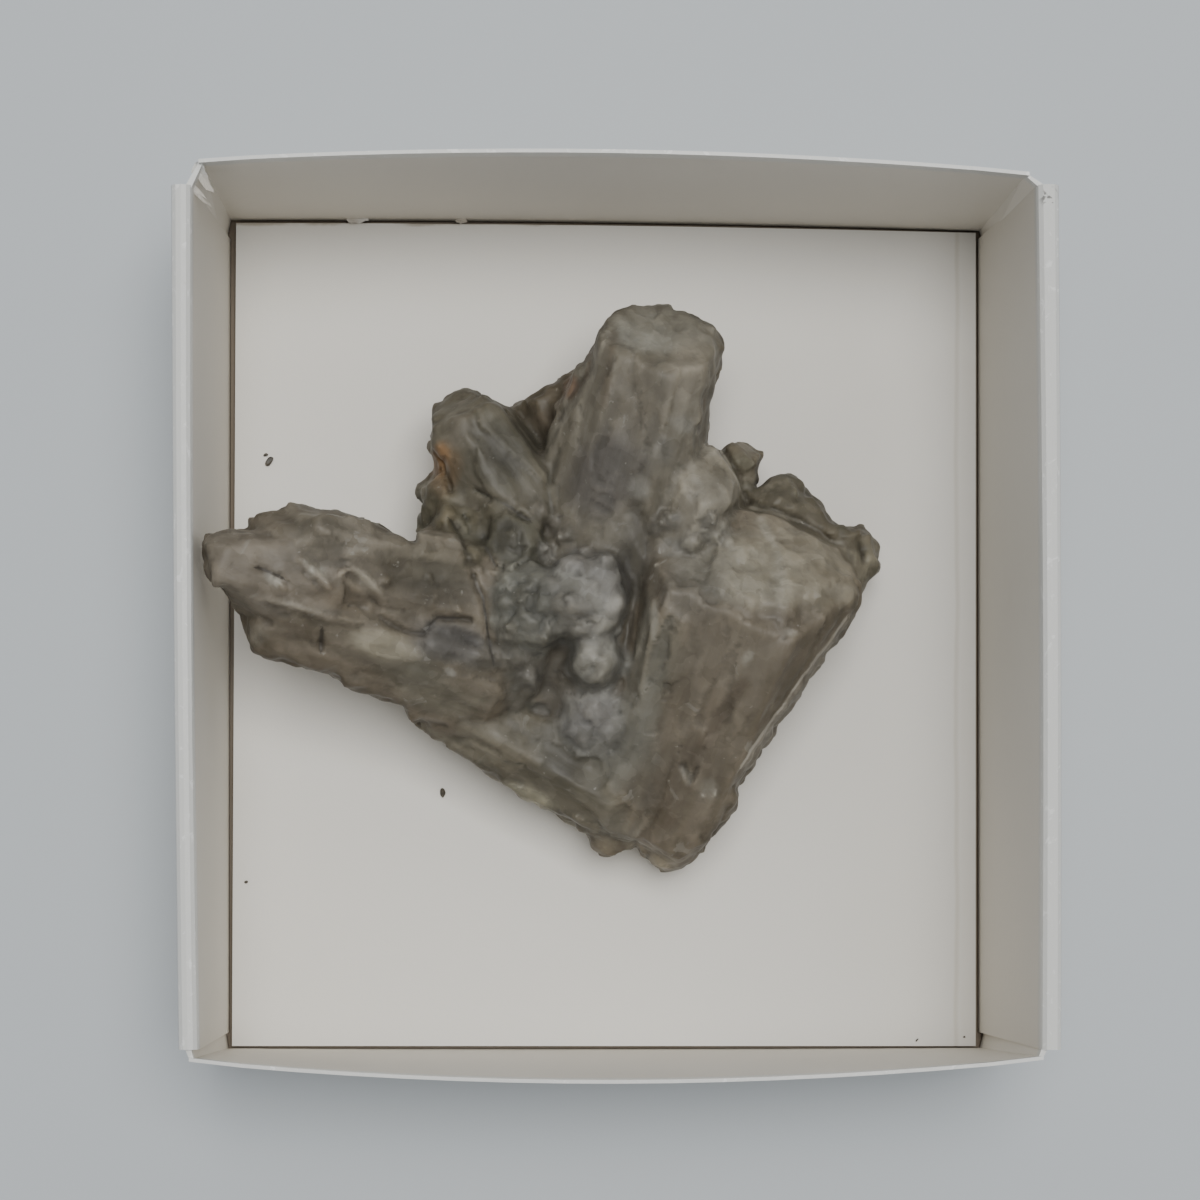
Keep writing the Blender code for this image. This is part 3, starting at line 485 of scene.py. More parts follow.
# rounded growths: (px, py, radius x, radius y, rise mm, turn, colour)
LUMPS = [
    (598, 580, 24.0, 25.0, 0.20, 0.3, (0.215, 0.207, 0.190)),
    (622, 588, 9.0, 13.0, 0.42, 0.2, (0.200, 0.192, 0.174)),
    (584, 556, 12.0, 8.0, 0.42, 0.1, (0.200, 0.192, 0.174)),
    (606, 560, 11.0, 8.0, 0.42, 0.4, (0.205, 0.197, 0.180)),
    (580, 606, 15.0, 12.0, 0.42, 0.1, (0.185, 0.177, 0.158)),
    (612, 604, 13.8, 15.6, 0.42, 0, (0.220, 0.211, 0.188)),
    (572, 566, 13.8, 12.0, 0.42, 0.5, (0.211, 0.202, 0.183)),
    (600, 622, 15.6, 12.9, 0.47, 0, (0.204, 0.195, 0.168)),
    (578, 628, 12.9, 10.1, 0.52, 0, (0.192, 0.183, 0.158)),
    (566, 605, 15.6, 13.8, 0.42, 0.2, (0.172, 0.165, 0.144)),
    (556, 586, 12.0, 12.0, 0.47, 0, (0.160, 0.153, 0.133)),
    (543, 553, 9.2, 9.2, 0.87, 0, (0.192, 0.183, 0.159)),
    (559, 626, 10.1, 8.3, 0.47, 0.4, (0.175, 0.168, 0.141)),
    (536, 578, 12.9, 11.0, 0.57, 0, (0.152, 0.146, 0.120)),
    (545, 604, 12.9, 12.9, 0.52, 0, (0.156, 0.149, 0.124)),
    (523, 596, 12.9, 14.7, 0.52, 0.3, (0.159, 0.152, 0.124)),
    (509, 576, 11.0, 13.8, 0.57, 0.2, (0.155, 0.148, 0.119)),
    (505, 602, 10.1, 12.9, 0.52, 0, (0.146, 0.140, 0.114)),
    (526, 622, 12.9, 11.0, 0.52, 0, (0.159, 0.152, 0.127)),
    (508, 632, 11.0, 12.0, 0.52, 0, (0.137, 0.130, 0.108)),
    (545, 632, 10.1, 10.1, 0.47, 0, (0.159, 0.152, 0.127)),
    (592, 652, 17.5, 12.0, 0.35, 0.2, (0.192, 0.183, 0.156)),
    (606, 664, 12.9, 12.0, 0.42, 0, (0.185, 0.177, 0.150)),
    (582, 662, 12.0, 10.1, 0.42, 0, (0.176, 0.168, 0.141)),
    (598, 676, 11.0, 7.4, 0.37, 0, (0.169, 0.160, 0.133)),
    (598, 706, 22.1, 18.4, 0.30, 0.2, (0.168, 0.161, 0.155)),
    (584, 728, 18.4, 16.6, 0.30, 0, (0.155, 0.148, 0.145)),
    (610, 728, 13.8, 18.4, 0.37, 0, (0.159, 0.152, 0.144)),
    (528, 676, 12.9, 12.9, 0.37, 0, (0.133, 0.125, 0.106)),
    (518, 654, 12.0, 11.0, 0.42, 0, (0.142, 0.134, 0.113)),
    (544, 706, 12.9, 11.0, 0.37, 0, (0.146, 0.138, 0.118)),
    (511, 543, 19.3, 21.2, 0.12, 0.3, (0.090, 0.084, 0.063)),
    (480, 528, 15.6, 20.2, 0.37, 0.4, (0.124, 0.113, 0.080)),
    (458, 500, 18.4, 14.7, 0.25, 0.5, (0.120, 0.108, 0.076)),
    (446, 528, 13.8, 22.1, 0.37, 0.1, (0.115, 0.102, 0.070)),
    (437, 488, 12.9, 11.0, 0.42, 0.3, (0.133, 0.120, 0.087)),
    (498, 512, 14.7, 10.1, 0.37, 0.6, (0.124, 0.112, 0.080)),
    (470, 556, 14.7, 12.0, 0.32, 0.2, (0.111, 0.099, 0.070)),
    (555, 520, 11.0, 9.2, 0.42, 0.2, (0.142, 0.131, 0.110)),
    (566, 536, 9.2, 7.4, 0.42, 0, (0.151, 0.141, 0.119)),
    (540, 510, 10.1, 8.3, 0.42, 0.4, (0.142, 0.131, 0.109)),
    (672, 520, 13.8, 11.0, 0.47, 0.2, (0.133, 0.125, 0.106)),
    (690, 541, 12.0, 10.1, 0.42, 0, (0.146, 0.137, 0.116)),
    (655, 528, 10.1, 12.9, 0.42, 0, (0.124, 0.115, 0.096)),
    (708, 521, 7.4, 6.4, 0.52, 0, (0.172, 0.160, 0.133)),
    (716, 536, 7.4, 6.4, 0.52, 0.3, (0.179, 0.166, 0.137)),
    (728, 541, 6.4, 5.5, 0.47, 0, (0.166, 0.154, 0.125)),
    (702, 540, 5.5, 5.5, 0.52, 0, (0.175, 0.163, 0.137)),
]
for k, (px, py, rx, ry, rise, turn, colour) in enumerate(LUMPS):
    lump(px, py, rx, ry, rise, turn, colour, 400 + k)
count = 0
for di, (px, py, sx, sy, many, ln, rd, colour) in enumerate(DRUSE):
    rnd = np.random.RandomState(900 + di)
    for k in range(many):
        qx, qy = px + rnd.normal() * sx * 0.5, py + rnd.normal() * sy * 0.5
        z = surface_z(qx, qy)
        if z < 0:
            continue
        at = seen(qx, qy, z)
        g = slope_at(at)
        dr = g + rnd.normal(size=3) * 0.55
        size = rnd.uniform(0.6, 1.35)
        tint = np.array(colour) * rnd.uniform(0.8, 1.12)
        small_crystal(at - g * 0.18 * size, dr, ln * size, rd * size, 3000 + count, "druse", tuple(tint),
                      sides=rnd.randint(5, 8), flat=rnd.uniform(0.7, 1.0))
        count += 1

# small crystals along the joints between the big ones, all round and underneath
joint = (np.abs(dist) < 0.12) & (second < 0.30)
idx = np.argwhere(joint)
rnd = np.random.RandomState(77)
pick = idx[rnd.permutation(len(idx))[:50]]
for k, (i, j, l) in enumerate(pick):
    at = LO + np.array((i, j, l)) * STEP
    if at[2] < 2.2:
        continue
    g = slope_at(at)
    base = np.array(frames[owner[i, j, l]][6])
    size = rnd.uniform(0.5, 1.2)
    small_crystal(at - g * 0.1, g + rnd.normal(size=3) * 0.7, 0.9 * size, 0.30 * size, 6000 + k, "joint",
                  tuple(base * rnd.uniform(0.85, 1.2)), sides=rnd.randint(5, 7), flat=rnd.uniform(0.6, 1.0))

# clefts, steps and raised seams of the top: (px, py) line, width px, depth mm (raised: below zero)
CLEFTS = [
    ([(474, 577), (483, 600), (490, 640), (494, 662)], 10, 0.14),
    ([(478, 490), (508, 505), (530, 520)], 11, 0.16),
    ([(450, 520), (462, 540), (470, 558), (474, 577)], 11, 0.15),
    ([(490, 520), (486, 545), (496, 566), (512, 572), (530, 560), (540, 545)], 10, 0.09),
    ([(322, 630), (320, 650)], 10, 0.18),
    ([(258, 568), (280, 578)], 12, 0.20),
    ([(268, 572), (284, 588)], 9, -0.12),
    ([(300, 560), (318, 572), (330, 586)], 11, -0.16),
    ([(305, 572), (322, 590)], 10, 0.12),
    ([(352, 568), (372, 582), (384, 600)], 12, -0.16),
    ([(348, 574), (366, 590), (378, 606), (372, 618)], 12, 0.12),
    ([(300, 594), (330, 602), (362, 606)], 26, 0.16),
    ([(270, 600), (300, 608), (330, 618), (360, 622)], 12, -0.16),
    ([(290, 640), (318, 644)], 30, 0.12),
    ([(380, 618), (404, 632), (420, 634), (438, 618), (470, 620)], 13, 0.24),
    ([(440, 640), (470, 645)], 36, 0.25),
    ([(560, 655), (548, 680), (556, 705)], 36, 0.28),
    ([(573, 640), (566, 660)], 18, 0.15),
    ([(636, 512), (646, 540), (660, 556)], 30, 0.22),
    ([(724, 452), (738, 475), (747, 505)], 14, 0.25),
    ([(748, 503), (775, 510), (820, 533), (848, 560)], 14, 0.22),
    ([(735, 508), (722, 516)], 16, 0.28),
    ([(628, 560), (634, 600), (630, 640), (614, 690)], 34, 0.15),
    ([(653, 600), (651, 640), (640, 690)], 12, -0.12),
    ([(860, 546), (862, 560)], 12, 0.25),
    ([(592, 352), (590, 372), (578, 392), (560, 420)], 13, 0.22),
    ([(445, 460), (452, 490)], 13, 0.22),
    ([(560, 452), (548, 485), (552, 510)], 14, 0.18),
    ([(683, 765), (690, 778), (697, 768)], 11, 0.20),
    ([(636, 842), (634, 858)], 12, 0.28),
    ([(430, 745), (470, 735), (500, 752)], 12, 0.15),
    ([(420, 722), (445, 726)], 12, 0.20),
    ([(243, 615), (270, 622)], 12, 0.18),
]


def polyline_distance(PX, PY, pts):
    best = np.full(PX.shape, 1e9, f32)
    for (x0, y0), (x1, y1) in zip(pts, pts[1:]):
        dx, dy = x1 - x0, y1 - y0
        t = np.clip(((PX - x0) * dx + (PY - y0) * dy) / (dx * dx + dy * dy), 0, 1)
        best = np.minimum(best, np.hypot(PX - x0 - t * dx, PY - y0 - t * dy))
    return best


fine = noise3(SHAPE, STEP, 0.45, 5)
mid = noise3(SHAPE, STEP, 1.3, 6)
wide = noise3(SHAPE, STEP, 4.0, 7)

# the outline from above
sc = FOCAL / (EYE_Z - AX[2])[None, None, :]
PXX = (AX[0][:, None, None] - EYE_X) * sc + MID_X
PYY = MID_Y - (AX[1][None, :, None] - EYE_Y) * sc
poly = np.array(OUTLINE, float)
near = np.full(SHAPE, 1e9, f32)
inside = np.zeros(SHAPE, bool)
PX3, PY3 = np.broadcast_arrays(PXX, PYY)
for (x0, y0), (x1, y1) in zip(poly, np.roll(poly, -1, 0)):
    dx, dy = x1 - x0, y1 - y0
    t = np.clip(((PX3 - x0) * f32(dx) + (PY3 - y0) * f32(dy)) * f32(1 / (dx * dx + dy * dy)), 0, 1)
    near = np.minimum(near, (PX3 - f32(x0) - t * f32(dx)) ** 2 + (PY3 - f32(y0) - t * f32(dy)) ** 2)
    if y0 != y1:
        cross = ((PY3 >= min(y0, y1)) & (PY3 < max(y0, y1))
                 & (PX3 < f32(x0) + (PY3 - f32(y0)) * f32(dx / dy)))
        inside ^= cross
edge = np.sqrt(near) * np.where(inside, -1, 1).astype(f32) * f32(0.0455)
del near, inside, PX3, PY3


def smooth_and(a, b, k):
    h = np.clip(f32(k) - np.abs(a - b), 0, None)
    return np.maximum(a, b) + h * h * f32(0.25 / k)


# the crystals go on out to the outline, at the height they have where they are cut short
solid = dist < 0
has = solid.any(2)
zt = np.where(has, LO[2] + (SHAPE[2] - 1 - np.argmax(solid[:, :, ::-1], axis=2)) * STEP, 0).astype(f32)
wt = has.astype(f32)
for _ in range(int(1.6 / STEP)):
    n_ = np.zeros_like(zt)
    w_ = np.zeros_like(wt)
    for ax_ in (0, 1):
        for sh in (1, -1):
            n_ += np.roll(zt * wt, sh, ax_)
            w_ += np.roll(wt, sh, ax_)
    grow = (wt == 0) & (w_ > 0)
    zt[grow] = n_[grow] / w_[grow]
    wt[grow] = 1
for _ in range(3):
    for ax_ in (0, 1):
        d = np.moveaxis(zt, ax_, 0)
        d[1:-1] = (d[:-2] + 2 * d[1:-1] + d[2:]) * f32(0.25)
slab = np.abs(AX[2][None, None, :] - (zt[:, :, None] - 1.25)) - f32(1.10)
slab = smooth_and(slab, edge + f32(0.05), 0.7)
slab = np.where(wt[:, :, None] > 0, slab, FAR).astype(f32)
h = np.clip(f32(0.5) - np.abs(dist - slab), 0, None)
dist = np.minimum(dist, slab) - h * h * f32(0.5)
del slab, h, n_, w_

# edges are slightly rounded all over
for _ in range(1):
    for k in range(3):
        d = np.moveaxis(dist, k, 0)
        d[1:-1] = (d[:-2] + 2 * d[1:-1] + d[2:]) * f32(0.25)

# top-surface height over the block, for the clefts
solid = dist < 0
top = np.where(solid.any(2), LO[2] + (SHAPE[2] - 1 - np.argmax(solid[:, :, ::-1], axis=2)) * STEP, -5.0).astype(f32)
for pts, width, depth in CLEFTS:
    P = np.array([seen(x, y, 10.0) for x, y in pts])
    pad = width * 0.05 + 1.0
    got = block(np.array((P[:, 0].min() - pad, P[:, 1].min() - pad, 1.0)),
                np.array((P[:, 0].max() + pad, P[:, 1].max() + pad, 17.0)))
    sl, X, Y, Z = got
    sc = FOCAL / (EYE_Z - Z)
    PXX = (X - EYE_X) * sc + MID_X
    PYY = MID_Y - (Y - EYE_Y) * sc
    PXX, PYY = np.broadcast_arrays(PXX + mid[sl] * 2.5, PYY + fine[sl] * 2.0)
    ld = polyline_distance(PXX, PYY, pts) / f32(width / 2)
    below = top[sl[0], sl[1]][:, :, None] - Z
    inner = np.clip(1 - ld, 0, 1)
    shape = inner * inner * (3 - 2 * inner)
    dist[sl] += (depth * shape * np.clip(2.0 - below / 1.5, 0, 1)).astype(f32)

# broken and stepped surface: long flat splinters that run with each crystal
def scramble(a, b, c, k):
    """Repeatable random number from 0 to 1 for each cell."""
    h = (a.astype(np.int64) * 73856093) ^ (b.astype(np.int64) * 19349663) ^ (c.astype(np.int64) * 83492791) ^ (k * 2654435761)
    h = (h ^ (h >> 13)) * 1274126177
    h = (h ^ (h >> 16)) & 0xFFFFFF
    return (h / float(0xFFFFFF)).astype(f32)


def splinters(xyz, own_, cell, seed):
    """Offset and shade of the splinter that each point belongs to."""
    A_ = np.array([f[0] for f in frames], f32)[own_]
    U_, V_, E_ = (np.array([f[k] for f in frames], f32)[own_] for k in (1, 2, 3))
    rel_ = xyz - A_
    q = np.stack([(rel_ * U_).sum(1) / cell[0], (rel_ * V_).sum(1) / cell[1], (rel_ * E_).sum(1) / cell[2]], 1)
    q += (own_[:, None] * np.array((17.3, 5.1, 9.7))).astype(f32)
    base = np.floor(q).astype(np.int64)
    best = np.full(len(q), 1e9, f32)
    off = np.zeros(len(q), f32)
    shade = np.zeros(len(q), f32)
    for i in (-1, 0, 1):
        for j in (-1, 0, 1):
            for l in (-1, 0, 1):
                c = base + (i, j, l)
                a0, a1, a2 = c[:, 0], c[:, 1], c[:, 2]
                dq = [q[:, k] - (c[:, k] + scramble(a0, a1, a2, seed + k)) for k in range(3)]
                r = dq[0] ** 2 + dq[1] ** 2 + dq[2] ** 2
                near = r < best
                best = np.where(near, r, best)
                h_ = scramble(a0, a1, a2, seed + 5)
                g0, g1 = scramble(a0, a1, a2, seed + 6) - 0.5, scramble(a0, a1, a2, seed + 7) - 0.5
                off = np.where(near, h_ + 1.1 * (g0 * dq[0] + g1 * dq[1]), off)
                shade = np.where(near, scramble(a0, a1, a2, seed + 8), shade)
    return off, shade


band = np.argwhere(np.abs(dist) < 0.5)
own_b = owner[band[:, 0], band[:, 1], band[:, 2]].astype(int)
xyz = (LO + band * STEP).astype(f32)
xyz += np.stack([fine[band[:, 0], band[:, 1], band[:, 2]], mid[band[:, 0], band[:, 1], band[:, 2]],
                 fine[band[:, 0], band[:, 1], band[:, 2]]], 1) * f32(0.10)
off1, _ = splinters(xyz, own_b, (1.35, 1.35, 4.2), 11)
off2, _ = splinters(xyz, own_b, (0.55, 0.55, 1.3), 47)
dist[band[:, 0], band[:, 1], band[:, 2]] += f32(0.115) * off1 + f32(0.065) * off2 - f32(0.07)
del band, own_b, xyz, off1, off2

# weathered, slightly corroded surface
grit = noise3(SHAPE, STEP, 0.30, 8)
dist += 0.050 * mid + 0.026 * fine + 0.012 * grit

# the rim is crumbly
near_rim_w = np.clip(1 - np.abs(edge + 0.15) / f32(0.75), 0, 1)
dist += near_rim_w * (0.12 * fine + 0.075 * grit)
del near_rim_w
# nothing grows past the outline
dist = smooth_and(dist, (edge + 0.17 * fine + 0.11 * grit + 0.03 * mid).astype(f32), 0.08)

# keep clear of the lining card and of the tray's wall
Zg = AX[2][None, None, :]
dist = np.maximum(dist, (STONE_BOTTOM + 0.02 - Zg) + np.zeros((1, 1, 1), f32))
wall = -(18.22 + 0.13 * (Zg - 1.0) / 15.0) + 0.20
dist = np.maximum(dist, (wall - AX[0][:, None, None]) + np.zeros((1, 1, 1), f32))
lo_c, hi_c = (np.array(c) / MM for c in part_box("aragonite"))
for k in range(3):
    shp = [1, 1, 1]
    shp[k] = SHAPE[k]
    a = AX[k].reshape(shp)
    dist = np.maximum(dist, np.maximum(lo_c[k] + 0.01 - a, a - hi_c[k] + 0.01).astype(f32))

# edges and hollows: where the field bends outward or inward
soft_field = dist.copy()
for _ in range(3):
    for k in range(3):
        d = np.moveaxis(soft_field, k, 0)
        d[1:-1] = (d[:-2] + 2 * d[1:-1] + d[2:]) * f32(0.25)
bend = (soft_field - dist) / f32(0.14)
del soft_field

# one body: loose specks cut off by the clefts are dropped
import openvdb as vdb
grid = vdb.FloatGrid(FAR)
grid.copyFromArray(np.ascontiguousarray(np.clip(dist / STEP, -3, 3), dtype=f32), tolerance=0.0)
pts, tris, quads = grid.convertToPolygons(isovalue=0.0, adaptivity=0.0)
pts = pts.astype(float)


def mesh_from(name, co, quads, tris):
    me = bpy.data.meshes.new(name)
    loops = np.concatenate([quads.reshape(-1), tris.reshape(-1)]).astype(np.int32)
    starts = np.concatenate([np.arange(len(quads)) * 4, len(quads) * 4 + np.arange(len(tris)) * 3]).astype(np.int32)
    totals = np.concatenate([np.full(len(quads), 4), np.full(len(tris), 3)]).astype(np.int32)
    me.vertices.add(len(co))
    me.vertices.foreach_set("co", co.astype(f32).ravel())
    me.loops.add(len(loops))
    me.loops.foreach_set("vertex_index", loops)
    me.polygons.add(len(starts))
    me.polygons.foreach_set("loop_start", starts)
    me.polygons.foreach_set("loop_total", totals)
    me.update(calc_edges=True)
    me.validate()
    return me


def largest_body(n, quads, tris):
    """Marks the vertices of the largest connected body."""
    label = np.arange(n)
    ed = np.concatenate([quads[:, [0, 1]], quads[:, [1, 2]], quads[:, [2, 3]]] +
                        ([tris[:, [0, 1]], tris[:, [1, 2]]] if len(tris) else []))
    while True:
        m = np.minimum(label[ed[:, 0]], label[ed[:, 1]])
        new = label.copy()
        np.minimum.at(new, ed[:, 0], m)
        np.minimum.at(new, ed[:, 1], m)
        new = new[new]
        new = new[new]
        if (new == label).all():
            break
        label = new
    ids, counts = np.unique(label, return_counts=True)
    return label == ids[counts.argmax()]


keep = largest_body(len(pts), quads, tris)
quads = quads[keep[quads[:, 0]]]
tris = tris[keep[tris[:, 0]]] if len(tris) else tris
renum = np.cumsum(keep) - 1
co_mm = LO + pts[keep] * STEP
quads, tris = renum[quads], (renum[tris] if len(tris) else np.zeros((0, 3), int))
me = mesh_from("aragonite_surface", co_mm, quads[:, ::-1], tris[:, ::-1])
stone = bpy.data.objects.new("aragonite_surface", me)
bpy.context.scene.collection.objects.link(stone)
TARGET = 192000
count_tris = 2 * len(quads) + len(tris)
if count_tris > TARGET:
    dec = stone.modifiers.new("thin", "DECIMATE")
    dec.ratio = TARGET / count_tris
    dg = bpy.context.evaluated_depsgraph_get()
    new = bpy.data.meshes.new_from_object(stone.evaluated_get(dg))
    stone.modifiers.clear()
    stone.data = new
    bpy.data.meshes.remove(me)
    me = new
print("stone", count_tris, "->", sum(len(p.vertices) - 2 for p in me.polygons))

# ---- what each point of the surface is made of ---------------------------------------------------------------
nv = len(me.vertices)
co = np.zeros(nv * 3, f32)
me.vertices.foreach_get("co", co)
co = co.reshape(-1, 3).astype(float)
ii = [np.clip(np.round((co[:, k] - LO[k]) / STEP).astype(int), 0, SHAPE[k] - 1) for k in range(3)]
own = owner[ii[0], ii[1], ii[2]].astype(int)
sec = second[ii[0], ii[1], ii[2]]
nm = np.zeros(nv * 3, f32)
me.vertices.foreach_get("normal", nm)
nm = nm.reshape(-1, 3)
fr_A = np.array([f[0] for f in frames])
fr_u, fr_v, fr_e = (np.array([f[k] for f in frames]) for k in (1, 2, 3))
fr_len = np.array([f[4] for f in frames])
fr_col = np.array([f[6] for f in frames])
rel = co - fr_A[own]
loc = np.stack([(rel * fr_u[own]).sum(1), (rel * fr_v[own]).sum(1), (rel * fr_e[own]).sum(1)], 1)
frac = loc[:, 2] / fr_len[own]
tint = fr_col[own].copy()
names = np.array([f[5] for f in frames])[own]
scv = FOCAL / (EYE_Z - co[:, 2])
vx = (co[:, 0] - EYE_X) * scv + MID_X
vy = MID_Y - (co[:, 1] - EYE_Y) * scv

frost = np.zeros(nv)
frost[np.isin(names, ("druse", "lump", "button", "button_low", "knobs", "frosted"))] = 0.15


def zone(px, py, rx, ry, turn=0.0, soft=0.5, zmin=0.0):
    """Soft oval patch seen from above: 1 in its middle, 0 outside."""
    c, s = cos(radians(turn)), sin(radians(turn))
    a = ((vx - px) * c + (vy - py) * s) / rx
    b = (-(vx - px) * s + (vy - py) * c) / ry
    r = np.hypot(a, b) + 0.12 * mid[ii[0], ii[1], ii[2]] + 0.08 * fine[ii[0], ii[1], ii[2]]
    return (1 - ramp(r, 1 - soft, 1 + soft * 0.3)) * (co[:, 2] > zmin)


# (px, py, radius x, radius y, turn, colour, strength, frost)
ZONES = [
    (600, 580, 28, 26, 0, (0.200, 0.193, 0.174), 0.60, 0.2),
    (562, 604, 40, 34, 0, (0.140, 0.135, 0.116), 0.45, 0.3),
    (520, 600, 34, 50, 0, (0.170, 0.172, 0.150), 0.45, 0.3),
    (592, 712, 38, 36, 10, (0.205, 0.198, 0.178), 0.60, 0.3),
    (556, 682, 26, 40, 0, (0.130, 0.124, 0.108), 0.60, 0.0),
    (555, 745, 30, 30, 0, (0.135, 0.133, 0.118), 0.4, 0.2),
    (330, 560, 60, 26, 12, (0.150, 0.132, 0.102), 0.3, 0.6),
    (440, 585, 40, 30, 12, (0.118, 0.108, 0.086), 0.4, 0.2),
    (440, 460, 11, 20, 10, (0.270, 0.150, 0.066), 0.70, 0.0),
    (446, 470, 20, 30, 10, (0.200, 0.125, 0.065), 0.45, 0.0),
    (571, 388, 9, 14, 20, (0.165, 0.090, 0.055), 0.6, 0.0),
    (382, 645, 40, 16, 13, (0.270, 0.246, 0.185), 0.85, 0.1),
    (452, 640, 46, 24, 12, (0.110, 0.104, 0.098), 0.60, 0.0),
    (345, 598, 40, 16, 12, (0.135, 0.113, 0.082), 0.60, 0.0),
    (318, 530, 46, 20, 15, (0.132, 0.118, 0.091), 0.60, 0.0),
    (218, 550, 30, 18, 10, (0.128, 0.112, 0.087), 0.60, 0.0),
    (280, 630, 34, 16, 15, (0.130, 0.110, 0.082), 0.55, 0.0),
    (255, 636, 14, 14, 15, (0.190, 0.175, 0.140), 0.50, 0.1),
    (425, 572, 56, 34, 15, (0.098, 0.088, 0.064), 0.65, 0.0),
    (430, 690, 60, 26, 28, (0.150, 0.140, 0.107), 0.60, 0.0),
    (460, 430, 18, 22, 10, (0.150, 0.134, 0.106), 0.55, 0.1),
    (500, 450, 44, 48, 45, (0.100, 0.093, 0.070), 0.70, 0.0),
    (535, 400, 44, 18, -25, (0.110, 0.096, 0.068), 0.55, 0.0),
    (655, 330, 58, 26, 5, (0.225, 0.215, 0.180), 0.60, 0.1),
    (648, 335, 36, 20, 5, (0.255, 0.250, 0.215), 0.45, 0.1),
    (686, 372, 22, 38, 10, (0.250, 0.226, 0.180), 0.70, 0.0),
    (628, 400, 34, 50, 10, (0.168, 0.150, 0.118), 0.55, 0.0),
    (604, 474, 48, 50, 15, (0.088, 0.080, 0.073), 0.70, 0.0),
    (640, 450, 30, 40, 10, (0.125, 0.116, 0.098), 0.40, 0.0),
    (635, 555, 26, 50, 5, (0.090, 0.083, 0.068), 0.55, 0.0),
    (706, 480, 26, 40, 12, (0.262, 0.243, 0.198), 0.60, 0.0),
    (740, 572, 78, 38, 14, (0.285, 0.266, 0.212), 0.75, 0.2),
    (800, 562, 70, 44, 28, (0.250, 0.228, 0.176), 0.70, 0.1),
    (690, 580, 40, 46, 20, (0.160, 0.152, 0.132), 0.45, 0.1),
    (728, 650, 60, 44, 20, (0.160, 0.141, 0.108), 0.45, 0.0),
    (660, 660, 24, 50, 15, (0.125, 0.118, 0.092), 0.50, 0.0),
    (625, 740, 24, 60, 24, (0.150, 0.145, 0.120), 0.50, 0.0),
    (650, 800, 34, 44, 26, (0.108, 0.090, 0.064), 0.60, 0.0),
    (570, 775, 40, 26, 30, (0.120, 0.110, 0.082), 0.50, 0.0),
    (528, 797, 30, 11, 25, (0.330, 0.312, 0.235), 0.80, 0.0),
    (652, 858, 30, 14, 20, (0.205, 0.180, 0.130), 0.50, 0.0),
    (800, 510, 44, 20, 32, (0.105, 0.093, 0.068), 0.50, 0.0),
    (868, 552, 16, 18, 20, (0.150, 0.135, 0.100), 0.50, 0.0),
    (273, 579, 12, 5, 30, (0.300, 0.285, 0.240), 0.80, 0.2),
    (318, 570, 16, 5, 42, (0.215, 0.198, 0.158), 0.70, 0.2),
    (368, 580, 20, 6, 40, (0.225, 0.206, 0.164), 0.70, 0.2),
    (300, 606, 34, 5, 12, (0.195, 0.178, 0.142), 0.60, 0.1),
    (450, 672, 8, 5, 35, (0.270, 0.258, 0.220), 0.80, 0.3),
    (790, 632, 10, 5, 10, (0.270, 0.250, 0.205), 0.75, 0.2),
    (748, 657, 6, 10, 30, (0.280, 0.262, 0.215), 0.75, 0.2),
    (687, 773, 6, 12, -10, (0.240, 0.222, 0.178), 0.70, 0.2),
    (708, 786, 12, 9, 0, (0.210, 0.196, 0.160), 0.60, 0.3),
    (654, 622, 5, 24, 3, (0.215, 0.205, 0.172), 0.70, 0.1),
    (660, 864, 22, 8, -8, (0.235, 0.208, 0.155), 0.60, 0.1),
    (606, 846, 14, 9, 0, (0.205, 0.182, 0.134), 0.60, 0.1),
    (640, 488, 13, 14, 0, (0.235, 0.228, 0.202), 0.60, 0.4),
    (684, 424, 18, 9, 30, (0.225, 0.214, 0.182), 0.60, 0.4),
    (664, 450, 12, 14, 0, (0.200, 0.190, 0.164), 0.55, 0.4),
    (716, 532, 20, 14, 15, (0.245, 0.234, 0.198), 0.65, 0.4),
    (672, 548, 18, 12, 0, (0.180, 0.174, 0.154), 0.55, 0.4),
    (600, 745, 34, 18, 0, (0.170, 0.166, 0.146), 0.50, 0.6),
]
# colours of neighbouring crystals run into one another
ed = np.zeros(len(me.edges) * 2, np.int32)
me.edges.foreach_get("vertices", ed)
ed = ed.reshape(-1, 2)
deg = np.bincount(ed.ravel(), minlength=nv) + 1e-6


def evened(v, times):
    v = v.copy()
    for _ in range(times):
        for c in range(v.shape[1]):
            acc = np.bincount(ed[:, 0], v[ed[:, 1], c], nv) + np.bincount(ed[:, 1], v[ed[:, 0], c], nv)
            v[:, c] = 0.4 * v[:, c] + 0.6 * acc / deg
    return v


tint = evened(tint, 5)
for px, py, rx, ry, turn, colour, strength, fz in ZONES:
    m = zone(px, py, rx, ry, turn)
    tint += (np.array(colour) - tint) * (m * strength)[:, None]
    frost = np.maximum(frost, m * fz)

